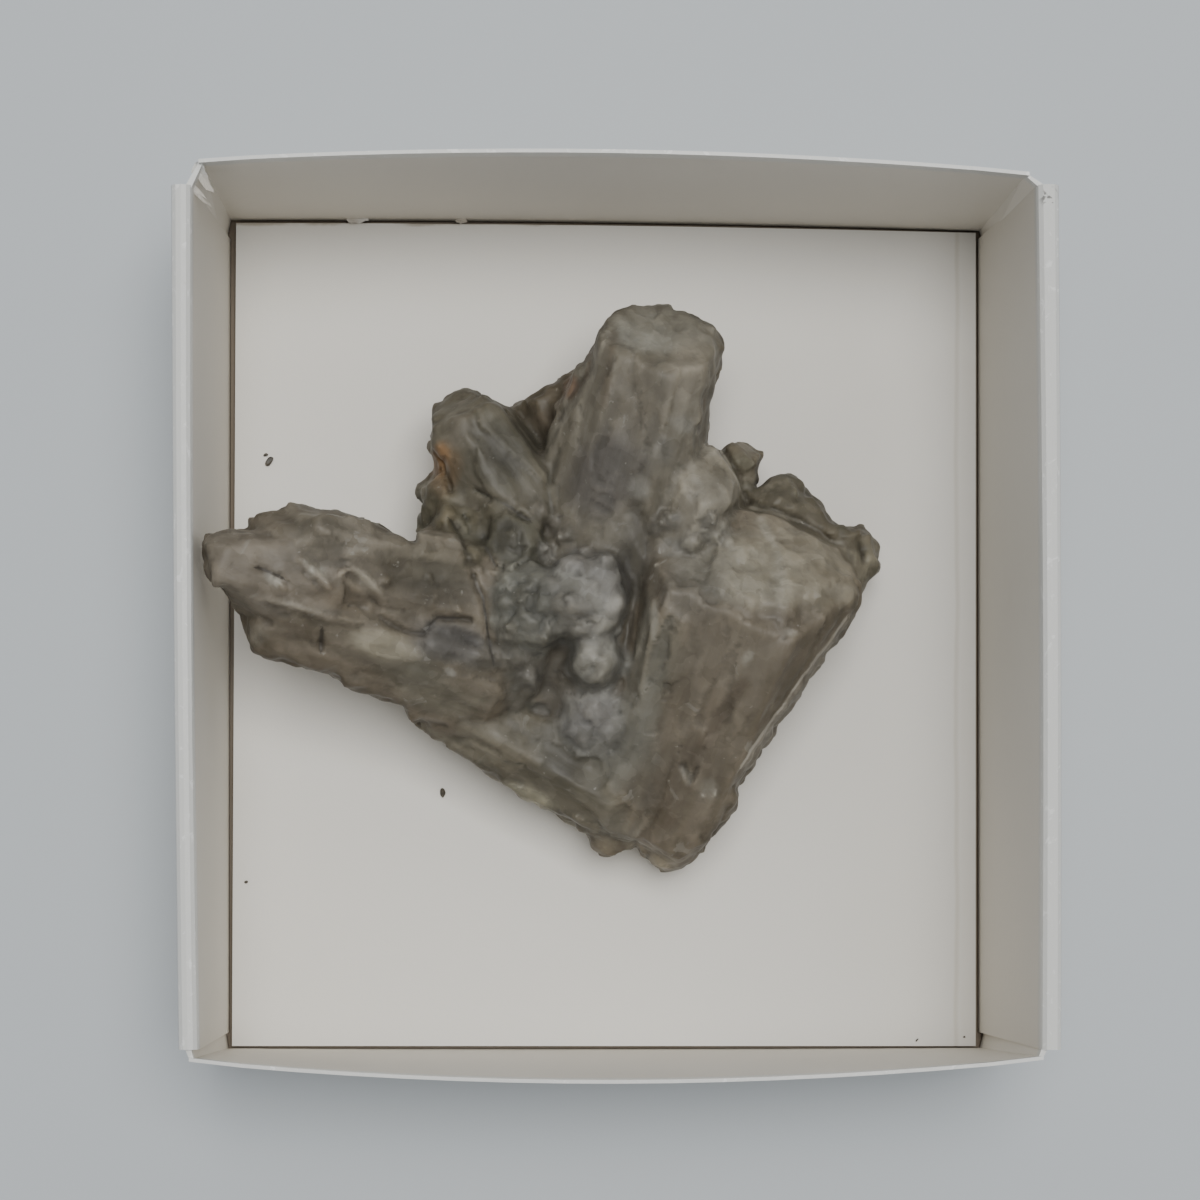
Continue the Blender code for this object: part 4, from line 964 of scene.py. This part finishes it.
# thin seams, streaks, painted highlights along edges that catch the light, and painted shade along edges and in the
# clefts: (px, py) line, width px, colour, strength, frost
LINES = [
    # the first three rows paint the narrow bevel face on the broad prism's right edge: a painted highlight strip, a
    # brighter painted highlight line, and a dark line of painted shade on its outer side
    ([(852, 616), (820, 662), (786, 712), (744, 772)], 11, (0.265, 0.245, 0.205), 0.80, 0.1),
    ([(845, 618), (812, 664), (778, 714), (740, 768)], 3.5, (0.340, 0.315, 0.265), 0.70, 0.1),
    ([(858, 612), (826, 662), (792, 716), (752, 772)], 4, (0.085, 0.070, 0.050), 0.70, 0.0),
    ([(614, 334), (608, 372), (604, 404)], 9, (0.098, 0.080, 0.058), 0.60, 0.0),
    ([(603, 344), (594, 372), (584, 402)], 7, (0.235, 0.215, 0.172), 0.55, 0.0),
    ([(648, 360), (640, 430), (634, 470)], 12, (0.125, 0.110, 0.084), 0.45, 0.0),
    ([(668, 365), (660, 430)], 8, (0.175, 0.158, 0.124), 0.45, 0.0),
    ([(722, 345), (716, 372), (704, 400), (704, 438)], 6, (0.100, 0.085, 0.060), 0.55, 0.0),
    ([(722, 452), (736, 478), (744, 500)], 4, (0.330, 0.310, 0.255), 0.70, 0.1),
    ([(750, 508), (770, 512), (800, 522)], 5, (0.290, 0.268, 0.215), 0.60, 0.1),
    ([(760, 520), (775, 545), (782, 575), (778, 600)], 9, (0.340, 0.322, 0.270), 0.55, 0.2),
    ([(744, 682), (716, 725), (690, 765)], 14, (0.092, 0.074, 0.052), 0.60, 0.0),
    ([(720, 640), (700, 700), (684, 740)], 10, (0.165, 0.143, 0.108), 0.50, 0.0),
    ([(790, 610), (760, 680), (720, 750)], 12, (0.168, 0.146, 0.110), 0.45, 0.0),
    ([(700, 610), (672, 690), (650, 760)], 10, (0.112, 0.098, 0.074), 0.45, 0.0),
    ([(640, 790), (628, 830)], 8, (0.160, 0.138, 0.100), 0.50, 0.0),
    ([(692, 800), (672, 852)], 9, (0.158, 0.136, 0.098), 0.50, 0.0),
    # the near-black lines from here to the right-hand cleft follow the clefts cut above: painted shade inside the
    # clefts
    ([(474, 577), (483, 600), (490, 640), (494, 662)], 3.5, (0.050, 0.045, 0.036), 0.80, 0.0),
    ([(478, 490), (508, 505), (530, 520)], 4, (0.050, 0.045, 0.034), 0.75, 0.0),
    ([(450, 520), (462, 540), (470, 558)], 4.5, (0.055, 0.050, 0.037), 0.75, 0.0),
    ([(486, 545), (496, 566), (512, 572), (530, 560)], 3, (0.060, 0.055, 0.042), 0.75, 0.0),
    ([(322, 630), (320, 650)], 6, (0.050, 0.042, 0.032), 0.80, 0.0),
    ([(258, 568), (282, 578)], 5, (0.050, 0.042, 0.032), 0.80, 0.0),
    ([(422, 632), (438, 617), (462, 619)], 4, (0.050, 0.044, 0.036), 0.75, 0.0),
    ([(860, 546), (862, 560)], 6, (0.050, 0.042, 0.032), 0.70, 0.0),
    ([(560, 452), (548, 485), (552, 512)], 6, (0.105, 0.098, 0.078), 0.50, 0.0),
    ([(590, 354), (586, 376), (572, 398)], 6, (0.085, 0.066, 0.048), 0.60, 0.0),
    ([(625, 565), (632, 600), (628, 640), (614, 680)], 10, (0.082, 0.077, 0.066), 0.55, 0.0),
]
n_mid, n_fine = mid[ii[0], ii[1], ii[2]], fine[ii[0], ii[1], ii[2]]
# nearest thin line at each point; some of these lines are painted highlights and painted shade
thin_line = np.zeros((nv, 3))
thin_line[:, :2] = 60.0
thin_line[:, 2] = 1.0
thin_line_colour = np.ones((nv, 3)) * 0.1
lx, ly = vx + n_mid * 1.6, vy + n_fine * 1.0
for pts, width, colour, strength, fz in LINES:
    best = np.full(nv, 1e9)
    sign = np.ones(nv)
    for (x0, y0), (x1, y1) in zip(pts, pts[1:]):
        dx, dy = x1 - x0, y1 - y0
        t = np.clip(((lx - x0) * dx + (ly - y0) * dy) / (dx * dx + dy * dy), 0, 1)
        q = np.hypot(lx - x0 - t * dx, ly - y0 - t * dy)
        side = np.where((lx - x0) * dy - (ly - y0) * dx > 0, 1.0, -1.0)
        sign = np.where(q < best, side, sign)
        best = np.minimum(best, q)
    if width >= 8:
        m = (1 - ramp(best / (width / 2), 0.3, 1.4)) * np.clip(0.85 + 0.35 * n_mid, 0, 1)
        tint += (np.array(colour) - tint) * (m * strength)[:, None]
        frost = np.maximum(frost, m * fz)
    else:
        closer = best < thin_line[:, 1]
        thin_line[closer, 0] = (best * sign)[closer]
        thin_line[closer, 1] = best[closer]
        thin_line[closer, 2] = width / 2
        thin_line_colour[closer] = np.array(colour)
thin_line[:, :2] = np.clip(thin_line[:, :2], -60, 60)

# the small pale crusts keep their own colour, whatever they grow on
small = (names == "druse") & (fr_col[own][:, 0] > 0.26)
crust = evened(small[:, None].astype(float), 1)
tint += (evened(fr_col[own].astype(float), 1) - tint) * np.clip(crust * 1.1, 0, 0.9) * 0.8

# painted shade and painted light: patches drawn darker or lighter over the crystals' colour: (px, py, half widths px,
# turn, how much)
SHADE_AND_LIGHT_PATCHES = [
    (425, 592, 46, 26, 14, 0.64),
    (330, 556, 40, 20, 14, 0.80),
    (318, 528, 44, 16, 14, 0.84),
    (345, 600, 30, 14, 12, 1.18),
    (565, 772, 36, 22, 28, 0.62),
    (520, 600, 36, 46, 0, 0.74),
    (560, 606, 22, 22, 0, 1.10),
    (596, 580, 30, 30, 0, 0.88),
    (462, 430, 20, 24, 10, 0.88),
    (648, 332, 44, 22, 5, 0.92),
    (635, 640, 12, 34, 5, 1.16),
    (635, 556, 18, 34, 5, 0.64),
    (512, 541, 26, 26, 0, 0.76),
    (555, 690, 26, 26, 0, 1.16),
    (530, 798, 24, 10, 25, 1.18),
    (500, 452, 34, 34, 40, 0.68),
    (690, 582, 34, 30, 20, 0.76),
    (665, 655, 24, 40, 15, 0.92),
    (755, 668, 50, 60, 25, 0.88),
    (742, 574, 60, 30, 12, 0.85),
    (700, 760, 40, 30, 26, 0.82),
    (706, 480, 24, 34, 12, 0.80),
    (600, 474, 34, 34, 15, 0.92),
    (460, 640, 34, 18, 12, 0.80),
    (642, 420, 34, 40, 10, 1.20),
    (690, 350, 26, 30, 10, 1.12),
    (742, 462, 20, 22, 0, 1.22),
    (596, 662, 26, 22, 0, 1.12),
    (441, 461, 12, 18, 10, 1.45),
    (460, 510, 30, 24, 20, 1.14),
    (430, 690, 44, 18, 28, 1.08),
]
# each patch scales the tint: painted shade below 1, painted light above 1
for px, py, rx, ry, turn, k in SHADE_AND_LIGHT_PATCHES:
    tint *= (1 + (k - 1) * zone(px, py, rx, ry, turn, 0.9))[:, None]

# free ends are lighter where the light comes through them
glow = ramp(frac, 0.86, 1.0) * (fr_len[own] > 3)
tint *= (1 + 0.10 * glow)[:, None]
# each splinter has its own shade
pv = (co + np.stack([n_fine, n_mid, n_fine], 1) * 0.10).astype(f32)
_, sh1 = splinters(pv, own, (1.35, 1.35, 4.2), 11)
_, sh2 = splinters(pv, own, (0.55, 0.55, 1.3), 47)
vary = evened(np.stack([sh1, sh2], 1).astype(float) - 0.5, 1)
tint *= (1 + 0.20 * vary[:, :1] + 0.26 * vary[:, 1:])
# cloudy variation inside the crystals
w3 = wide[ii[0], ii[1], ii[2]]
tint *= (1 + 0.07 * w3 + 0.06 * n_mid)[:, None]
# darker along the joints between crystals, painted shade in the hollows and painted highlights on the edges, painted
# shade along the outline and on steep faces
bd = np.clip(bend[ii[0], ii[1], ii[2]], -0.6, 0.6)
# darker along the joints between crystals
joint_darkening = 1 - ramp(sec, 0.02, 0.35)
tint *= (1 - 0.12 * joint_darkening)[:, None]
# painted shade in the hollows and painted highlight on the edges, where the surface bends inward or outward
tint *= (1 + np.where(bd > 0, 0.22, 0.38) * bd)[:, None]
# painted shade: a dark band along the outline of the cluster
near_rim = 1 - ramp(-edge[ii[0], ii[1], ii[2]], 0.02, 0.30)
tint *= (1 - 0.30 * near_rim)[:, None]
# painted shade: steep and downward-facing surfaces drawn darker
steep = 1 - ramp(nm[:, 2], 0.05, 0.55)
tint *= (1 - 0.08 * steep)[:, None]
tint = np.clip(tint, 0.008, 0.8)


def colour_layer(name, rgb):
    a = me.attributes.new(name, "FLOAT_COLOR", "POINT")
    v = np.ones((nv, 4), f32)
    v[:, :3] = rgb
    a.data.foreach_set("color", v.ravel())


colour_layer("tint", tint)
colour_layer("mask", np.stack([frost, joint_darkening, np.clip(frac, 0, 1)], 1))
for name, val in (("thin_line", thin_line), ("thin_line_colour", thin_line_colour)):
    a = me.attributes.new(name, "FLOAT_VECTOR", "POINT")
    a.data.foreach_set("vector", val.astype(f32).ravel())
a = me.attributes.new("grain", "FLOAT_VECTOR", "POINT")
gr = loc + (own[:, None] % 97) * np.array((3.7, 5.3, 0.9))
a.data.foreach_set("vector", gr.astype(f32).ravel())

me.transform(Matrix.Scale(MM, 4))
me.polygons.foreach_set("use_smooth", np.ones(len(me.polygons), bool))
me.update()


# ---- materials -------------------------------------------------------------------------------------------------
class Nodes:
    def __init__(self, name):
        self.mat = bpy.data.materials.new(name)
        self.mat.use_nodes = True
        self.t = self.mat.node_tree
        self.p = self.t.nodes["Principled BSDF"]

    def new(self, kind, **inputs):
        n = self.t.nodes.new(kind)
        for k, v in inputs.items():
            if hasattr(n, k):
                setattr(n, k, v)
        return n

    def link(self, a, b):
        self.t.links.new(a, b)

    def noise(self, vector, scale, detail=4.0, rough=0.55, distort=0.0):
        n = self.t.nodes.new("ShaderNodeTexNoise")
        n.inputs["Scale"].default_value = scale
        n.inputs["Detail"].default_value = detail
        n.inputs["Roughness"].default_value = rough
        n.inputs["Distortion"].default_value = distort
        self.link(vector, n.inputs["Vector"])
        return n.outputs["Fac"]

    def scaled(self, vector, s):
        n = self.t.nodes.new("ShaderNodeVectorMath")
        n.operation = "MULTIPLY"
        self.link(vector, n.inputs[0])
        n.inputs[1].default_value = s
        return n.outputs[0]

    def math(self, op, a, b=None, c=None, clamp=False):
        n = self.t.nodes.new("ShaderNodeMath")
        n.operation = op
        n.use_clamp = clamp
        for i, v in enumerate((a, b, c)):
            if v is None:
                continue
            if isinstance(v, (int, float)):
                n.inputs[i].default_value = v
            else:
                self.link(v, n.inputs[i])
        return n.outputs[0]

    def span(self, v, a, b, lo=0.0, hi=1.0):
        n = self.t.nodes.new("ShaderNodeMapRange")
        n.interpolation_type = "SMOOTHSTEP"
        self.link(v, n.inputs["Value"])
        n.inputs["From Min"].default_value = a
        n.inputs["From Max"].default_value = b
        n.inputs["To Min"].default_value = lo
        n.inputs["To Max"].default_value = hi
        return n.outputs["Result"]

    def mix(self, fac, a, b, mode="MIX"):
        n = self.t.nodes.new("ShaderNodeMix")
        n.data_type = "RGBA"
        n.blend_type = mode
        for sock, v in ((n.inputs[0], fac), (n.inputs[6], a), (n.inputs[7], b)):
            if isinstance(v, (int, float)):
                sock.default_value = v
            elif isinstance(v, tuple):
                sock.default_value = (*v, 1)
            else:
                self.link(v, sock)
        return n.outputs[2]

    def attr(self, name, out="Color"):
        n = self.t.nodes.new("ShaderNodeAttribute")
        n.attribute_name = name
        return n.outputs[out]

    def split(self, col):
        n = self.t.nodes.new("ShaderNodeSeparateColor")
        self.link(col, n.inputs[0])
        return n.outputs

    def bump(self, height, strength, dist, normal=None):
        n = self.t.nodes.new("ShaderNodeBump")
        n.inputs["Strength"].default_value = strength
        n.inputs["Distance"].default_value = dist
        self.link(height, n.inputs["Height"])
        if normal is not None:
            self.link(normal, n.inputs["Normal"])
        return n.outputs[0]

    def coord(self):
        return self.t.nodes.new("ShaderNodeTexCoord").outputs["Object"]


s = Nodes("aragonite_surface")
grain = s.attr("grain", "Vector")
tint_c = s.attr("tint")
mask = s.split(s.attr("mask"))
obj = s.coord()
streak = s.noise(s.scaled(grain, (2.2, 2.2, 0.22)), 1.0, 4.0, 0.55, 0.4)
hair = s.noise(s.scaled(grain, (9.0, 9.0, 0.7)), 1.0, 3.0, 0.6, 0.2)
veil = s.noise(obj, 260.0, 6.0, 0.60, 1.4)
deep = s.noise(obj, 330.0, 5.0, 0.60, 0.8)
cloud = s.noise(obj, 620.0, 6.0, 0.62, 0.8)
speck = s.noise(obj, 2600.0, 2.0, 0.6, 0.0)
col = s.mix(1.0, tint_c, s.mix(s.span(streak, 0.30, 0.70), (0.945, 0.935, 0.92), (1.04, 1.042, 1.048)), "MULTIPLY")
col = s.mix(1.0, col, s.mix(s.span(veil, 0.50, 0.72), (1.0, 1.0, 1.0), (1.20, 1.205, 1.22)), "MULTIPLY")
col = s.mix(1.0, col, s.mix(s.span(deep, 0.50, 0.70), (1.0, 1.0, 1.0), (0.87, 0.85, 0.82)), "MULTIPLY")
col = s.mix(1.0, col, s.mix(s.span(hair, 0.56, 0.70), (1.0, 1.0, 1.0), (1.04, 1.04, 1.045)), "MULTIPLY")
col = s.mix(1.0, col, s.mix(s.math("MULTIPLY", s.span(cloud, 0.48, 0.70), mask[0]), (1.0, 1.0, 1.0), (1.55, 1.56, 1.58)), "MULTIPLY")
# thin lines from the table above, painted highlights and painted shade among them, drawn over the colour
sm = s.t.nodes.new("ShaderNodeSeparateXYZ")
s.link(s.attr("thin_line", "Vector"), sm.inputs[0])
off = s.math("ABSOLUTE", s.math("ADD", sm.outputs[0], s.math("MULTIPLY", s.math("SUBTRACT", cloud, 0.5), 5.0)))
line = s.math("SUBTRACT", 1.0, s.math("DIVIDE", off, sm.outputs[2], None, True), None, True)
line = s.span(line, 0.0, 0.75)
line = s.math("MULTIPLY", line, s.span(sm.outputs[1], 6.0, 4.0))
line = s.math("MULTIPLY", line, s.span(deep, 0.40, 0.56, 0.20, 0.85))
col = s.mix(line, col, s.attr("thin_line_colour", "Vector"))
cells = s.t.nodes.new("ShaderNodeTexVoronoi")
cells.inputs["Scale"].default_value = 1300.0
warp = s.t.nodes.new("ShaderNodeVectorMath")
warp.operation = "MULTIPLY_ADD"
nz = s.t.nodes.new("ShaderNodeTexNoise")
nz.inputs["Scale"].default_value = 900.0
nz.inputs["Detail"].default_value = 3.0
s.link(obj, nz.inputs["Vector"])
s.link(nz.outputs["Color"], warp.inputs[0])
warp.inputs[1].default_value = (0.0013, 0.0013, 0.0013)
s.link(obj, warp.inputs[2])
s.link(warp.outputs[0], cells.inputs["Vector"])
patch = s.split(cells.outputs["Color"])[0]
col = s.mix(1.0, col, s.mix(patch, (0.89, 0.885, 0.87), (1.10, 1.105, 1.115)), "MULTIPLY")
pale = s.math("MULTIPLY", s.span(cloud, 0.60, 0.66), s.span(patch, 0.55, 0.80))
col = s.mix(s.math("MULTIPLY", pale, s.span(mask[0], 0.0, 0.5, 0.25, 0.60)), col, (0.30, 0.295, 0.265))
col = s.mix(s.span(speck, 0.70, 0.78, 0.0, 0.30), col, (0.36, 0.35, 0.31))
s.link(col, s.p.inputs["Base Color"])
rough = s.math("ADD", s.span(cloud, 0.3, 0.7, 0.40, 0.56), s.math("MULTIPLY", mask[0], 0.10))
s.link(rough, s.p.inputs["Roughness"])
s.p.inputs["IOR"].default_value = 1.53
s.p.inputs["Specular IOR Level"].default_value = 0.22
s.p.inputs["Transmission Weight"].default_value = 0.0
s.p.inputs["Subsurface Weight"].default_value = 0.5
s.p.inputs["Subsurface Radius"].default_value = (1.0, 0.93, 0.80)
s.p.inputs["Subsurface Scale"].default_value = 0.0013
b = s.bump(streak, 0.22, 0.00010)
b = s.bump(cloud, 0.35, 0.00008, b)
b = s.bump(s.noise(obj, 3600.0, 3.0, 0.6, 0.3), 0.22, 0.00004, b)
b = s.bump(line, -0.5, 0.00008, b)
s.link(b, s.p.inputs["Normal"])
me.materials.clear()
me.materials.append(s.mat)
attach(stone, "root")
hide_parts("aragonite")


def card_material(name, tone, low_tone, rim):
    """Matt white card; with rim set, the folded top edge is smoother and greyer, with scuffs."""
    c = Nodes(name)
    o = c.coord()
    fibre = c.noise(o, 2600.0, 4.0, 0.6, 0.4)
    mottled = c.noise(o, 90.0, 4.0, 0.55, 0.0)
    grub = c.noise(o, 260.0, 5.0, 0.6, 0.5)
    scuff = c.noise(c.scaled(o, (1.0, 1.0, 2.5)), 1500.0, 3.0, 0.6, 0.6)
    col = c.mix(c.span(mottled, 0.3, 0.7), tuple(x * 0.965 for x in tone), tone)
    col = c.mix(c.span(grub, 0.64, 0.80, 0.0, 0.10), col, low_tone)
    xyz = c.t.nodes.new("ShaderNodeSeparateXYZ")
    c.link(o, xyz.inputs[0])
    r_base = c.span(mottled, 0.3, 0.7, 0.42, 0.55)
    if rim:
        up = c.span(xyz.outputs[2], 0.0148, 0.0156)
        col = c.mix(up, col, (0.63, 0.632, 0.605))
        flecks = c.math("MULTIPLY", c.span(scuff, 0.60, 0.68), up)
        col = c.mix(c.math("MULTIPLY", flecks, 0.55), col, (0.86, 0.86, 0.84))
        dark = c.math("MULTIPLY", c.span(scuff, 0.33, 0.27), up)
        col = c.mix(c.math("MULTIPLY", dark, 0.35), col, (0.52, 0.51, 0.47))
        # the card gets a little darker towards the bottom of the walls
        low = c.span(xyz.outputs[2], 0.0060, 0.0008, 0.0, 0.16)
        col = c.mix(low, col, low_tone)
        # bare brown board where the lining card leaves a gap
        bare = c.math("MULTIPLY", c.span(xyz.outputs[2], 0.00090, 0.00070), c.span(xyz.outputs[2], 0.00010, 0.00030))
        for axis, edge_at in ((0, 0.01840), (1, 0.02032)):
            away = c.math("ABSOLUTE", xyz.outputs[axis], 0.0)
            bare = c.math("MULTIPLY", bare, c.span(away, edge_at, edge_at - 0.00004))
        # the north wall's foot runs in towards the east, so its outside starts sooner there
        along = c.math("DIVIDE", c.math("ADD", xyz.outputs[0], 0.01845), 0.03684)
        drawn_in = c.math("MULTIPLY", c.math("MULTIPLY", along, along), 0.00053)
        bare = c.math("MULTIPLY", bare, c.span(c.math("ADD", xyz.outputs[1], drawn_in), 0.02036, 0.02032))
        # rubbed dark marks on the rim near the north-east corner
        there = c.t.nodes.new("ShaderNodeVectorMath")
        there.operation = "DISTANCE"
        c.link(o, there.inputs[0])
        there.inputs[1].default_value = (0.01905, 0.01828, 0.0159)
        mark = c.math("MULTIPLY", c.span(there.outputs["Value"], 0.00055, 0.00025), c.span(scuff, 0.52, 0.58))
        col = c.mix(c.math("MULTIPLY", mark, 0.80), col, (0.10, 0.095, 0.085))
        col = c.mix(c.math("MULTIPLY", bare, 0.9), col, (0.135, 0.095, 0.055))
        r_base = c.mix(up, r_base, (0.30, 0.30, 0.30))
    else:
        # crease near the east edge, where the lining card is bent up a little, and a dirty torn rim
        x, y = xyz.outputs[0], xyz.outputs[1]
        wav = c.math("MULTIPLY", c.math("SUBTRACT", c.noise(c.scaled(o, (0.2, 1.0, 0.2)), 120.0, 3.0, 0.5), 0.5), 0.0004)
        xe = c.math("ADD", x, wav)
        # painted shade: the lining card drawn darker towards its east side
        col = c.mix(c.span(x, -0.0010, 0.0172, 0.0, 0.75), col, tuple(v * 0.78 for v in tone))
        crease = c.math("MULTIPLY", c.span(xe, CREASE - 0.00016, CREASE), c.span(xe, CREASE + 0.00022, CREASE))
        col = c.mix(c.math("MULTIPLY", crease, 0.50), col, (0.48, 0.45, 0.38))
        strip = c.math("MULTIPLY", c.span(xe, CREASE + 0.00018, CREASE + 0.00034), c.span(grub, 0.25, 0.6))
        col = c.mix(c.math("MULTIPLY", strip, 0.30), col, (0.60, 0.57, 0.50))
        ragged = c.math("ADD", y, c.math("MULTIPLY", c.math("SUBTRACT", c.noise(o, 700.0, 4.0, 0.6), 0.5), 0.0003))
        frayed = c.math("MULTIPLY", c.math("MULTIPLY", c.span(ragged, 0.01978, 0.01994), c.span(x, 0.0005, -0.0005)), c.span(c.noise(c.scaled(o, (1.0, 0.1, 0.1)), 260.0, 3.0, 0.6), 0.40, 0.55))
        col = c.mix(c.math("MULTIPLY", frayed, 0.60), col, (0.27, 0.21, 0.13))
    c.link(col, c.p.inputs["Base Color"])
    c.link(r_base, c.p.inputs["Roughness"])
    bb = c.bump(fibre, 0.25, 0.00003)
    if rim:
        bb = c.bump(scuff, 0.30, 0.00006, bb)
    c.link(c.bump(mottled, 0.2, 0.0002, bb), c.p.inputs["Normal"])
    c.p.inputs["Specular IOR Level"].default_value = 0.25
    return c.mat


CREASE = 0.01698
tray_mat = card_material("white_card", (0.785, 0.745, 0.665), (0.60, 0.54, 0.43), True)
liner_mat = card_material("liner_card", (0.755, 0.735, 0.685), (0.70, 0.66, 0.58), False)
for node, mat in (("card_tray", tray_mat), ("floor_card", liner_mat)):
    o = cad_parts[node]
    o.data.materials.clear()
    o.data.materials.append(mat)


# ---- crumbs on the lining card and torn shreds of the card's corners -------------------------------------------
def chip(name, at, size, seed, stretch, turn):
    """An angular crumb broken off the cluster, resting on the lining card."""
    rnd = np.random.RandomState(seed)
    bm = bmesh.new()
    bmesh.ops.create_icosphere(bm, subdivisions=3, radius=1.0)
    cuts = rnd.normal(size=(11, 3))
    cuts /= np.linalg.norm(cuts, axis=1)[:, None]
    depth = rnd.uniform(0.55, 0.95, 11)
    c_, s_ = cos(turn), sin(turn)
    for v in bm.verts:
        p = np.array(v.co)
        p = p / max(1.0, (cuts @ p / depth).max())
        p += rnd.normal(size=3) * 0.02
        p = p * np.array(stretch) * size
        v.co = (p[0] * c_ - p[1] * s_, p[0] * s_ + p[1] * c_, p[2])
    low = min(v.co.z for v in bm.verts)
    for v in bm.verts:
        v.co = (v.co + Vector((at[0], at[1], at[2] - low))) * MM
    me_ = bpy.data.meshes.new(name)
    bm.to_mesh(me_)
    bm.free()
    ob = bpy.data.objects.new(name, me_)
    bpy.context.scene.collection.objects.link(ob)
    m = Nodes(name)
    o = m.coord()
    m.link(m.mix(m.span(m.noise(o, 3000.0, 4.0, 0.6), 0.35, 0.65), (0.030, 0.026, 0.020), (0.090, 0.078, 0.058)),
           m.p.inputs["Base Color"])
    m.p.inputs["Roughness"].default_value = 0.5
    m.link(m.bump(m.noise(o, 5000.0, 3.0, 0.6), 0.5, 0.00003), m.p.inputs["Normal"])
    me_.materials.append(m.mat)
    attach(ob, "root")
    return ob


card_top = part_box("floor_card")[1][2] / MM
for k, (px, py, size, stretch, turn) in enumerate(((270, 461, 0.26, (1.2, 0.60, 0.5), 0.9), (443, 793, 0.22, (0.65, 1.1, 0.6), 0.2),
                                                  (266, 455, 0.12, (1.1, 0.7, 0.6), 0.4), (230, 882, 0.10, (1.0, 0.8, 0.6), 0.3),
                                                  (917, 1040, 0.07, (1.4, 0.7, 0.6), 0.8), (964, 1037, 0.07, (1.0, 0.9, 0.6), 0.1))):
    at = seen(px, py, card_top)
    at[0] = max(at[0], -17.4)
    chip("crumb_%d" % (k + 1), at, size, 40 + k, stretch, turn)


def shred(name, pts, heights, seed, mat, thick=0.07):
    """A torn flake of card: a thin sheet with a ragged outline, curled in height."""
    rnd = np.random.RandomState(seed)
    ring, n = [], len(pts)
    for k in range(n):
        (x0, y0), (x1, y1) = pts[k], pts[(k + 1) % n]
        z0, z1 = heights[k], heights[(k + 1) % n]
        for q in range(5):
            f = q / 5
            j = rnd.uniform(-0.6, 0.6, 2) if q else (0, 0)
            ring.append(seen(x0 + (x1 - x0) * f + j[0], y0 + (y1 - y0) * f + j[1], z0 + (z1 - z0) * f))
    ring = np.array(ring)
    mid_p = ring.mean(0) + (0, 0, 0.03)
    bm = bmesh.new()
    layers = []
    for dz in (0.0, -thick):
        rows = [[bm.verts.new((mid_p + (p_ - mid_p) * g + (0, 0, dz)) * MM) for p_ in ring] for g in (1.0, 0.62, 0.3)]
        c_v = bm.verts.new((mid_p + (0, 0, dz)) * MM)
        layers.append(rows)
        m_ = len(ring)
        for r0, r1 in zip(rows, rows[1:]):
            for i in range(m_):
                bm.faces.new((r0[i], r0[(i + 1) % m_], r1[(i + 1) % m_], r1[i]))
        for i in range(m_):
            bm.faces.new((rows[-1][i], rows[-1][(i + 1) % m_], c_v))
    for i in range(m_):
        bm.faces.new((layers[0][0][i], layers[0][0][(i + 1) % m_], layers[1][0][(i + 1) % m_], layers[1][0][i]))
    bmesh.ops.recalc_face_normals(bm, faces=bm.faces)
    me_ = bpy.data.meshes.new(name)
    bm.to_mesh(me_)
    bm.free()
    ob = bpy.data.objects.new(name, me_)
    bpy.context.scene.collection.objects.link(ob)
    me_.materials.append(mat)
    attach(ob, "root")
    return ob


t = card_top + 0.10
shred("torn_flake_1", [(346, 220), (351, 216), (358, 217.5), (366, 216.5), (369, 220), (360, 223), (351, 223)],
      [t, t + .12, t + .05, t + .16, t, t, t], 61, liner_mat)
shred("torn_flake_2", [(455, 221), (458, 217), (466, 218), (467, 222), (460, 224)], [t, t + .14, t + .06, t, t], 62, liner_mat)
shred("torn_corner_1", [(191, 172), (195, 163), (200, 160), (204, 166), (208, 178), (214, 192), (206, 190), (199, 180)],
      [15.3, 15.5, 15.8, 15.6, 15.0, 14.2, 14.4, 15.0], 63, tray_mat, 0.12)
shred("torn_corner_2", [(190, 181), (198, 188), (207, 199), (212, 207), (203, 202), (190, 190)],
      [15.4, 15.0, 14.4, 13.6, 14.2, 15.3], 64, tray_mat, 0.12)


# ---- floor and light -----------------------------------------------------------------------------------------------
bpy.ops.mesh.primitive_plane_add(size=1.6, location=(0, 0, 0))
floor = bpy.context.object
floor.name = "floor"
fm = Nodes("floor")
fm.p.inputs["Base Color"].default_value = (0.490, 0.522, 0.545, 1)
fm.p.inputs["Roughness"].default_value = 0.6
fm.p.inputs["Specular IOR Level"].default_value = 0.2
floor.data.materials.append(fm.mat)


def area(name, loc, size, power, colour=(1, 1, 1)):
    d = bpy.data.lights.new(name, "AREA")
    d.shape = "RECTANGLE"
    d.size, d.size_y = size
    d.energy = power
    d.color = colour
    o = bpy.data.objects.new(name, d)
    o.location = loc
    o.rotation_euler = (Vector((0, 0, 0.005)) - Vector(loc)).to_track_quat("-Z", "Y").to_euler()
    bpy.context.scene.collection.objects.link(o)
    return o


area("key", (0.045, 0.08, 0.61), (0.28, 0.24), 3.2, (1.0, 0.985, 0.955))
area("fill", (0.05, 0.45, 0.45), (0.50, 0.30), 0.36, (0.95, 0.97, 1.0))
world = bpy.data.worlds.new("world")
bpy.context.scene.world = world
world.use_nodes = True
world.node_tree.nodes["Background"].inputs["Color"].default_value = (0.90, 0.94, 1.0, 1)
world.node_tree.nodes["Background"].inputs["Strength"].default_value = 0.40
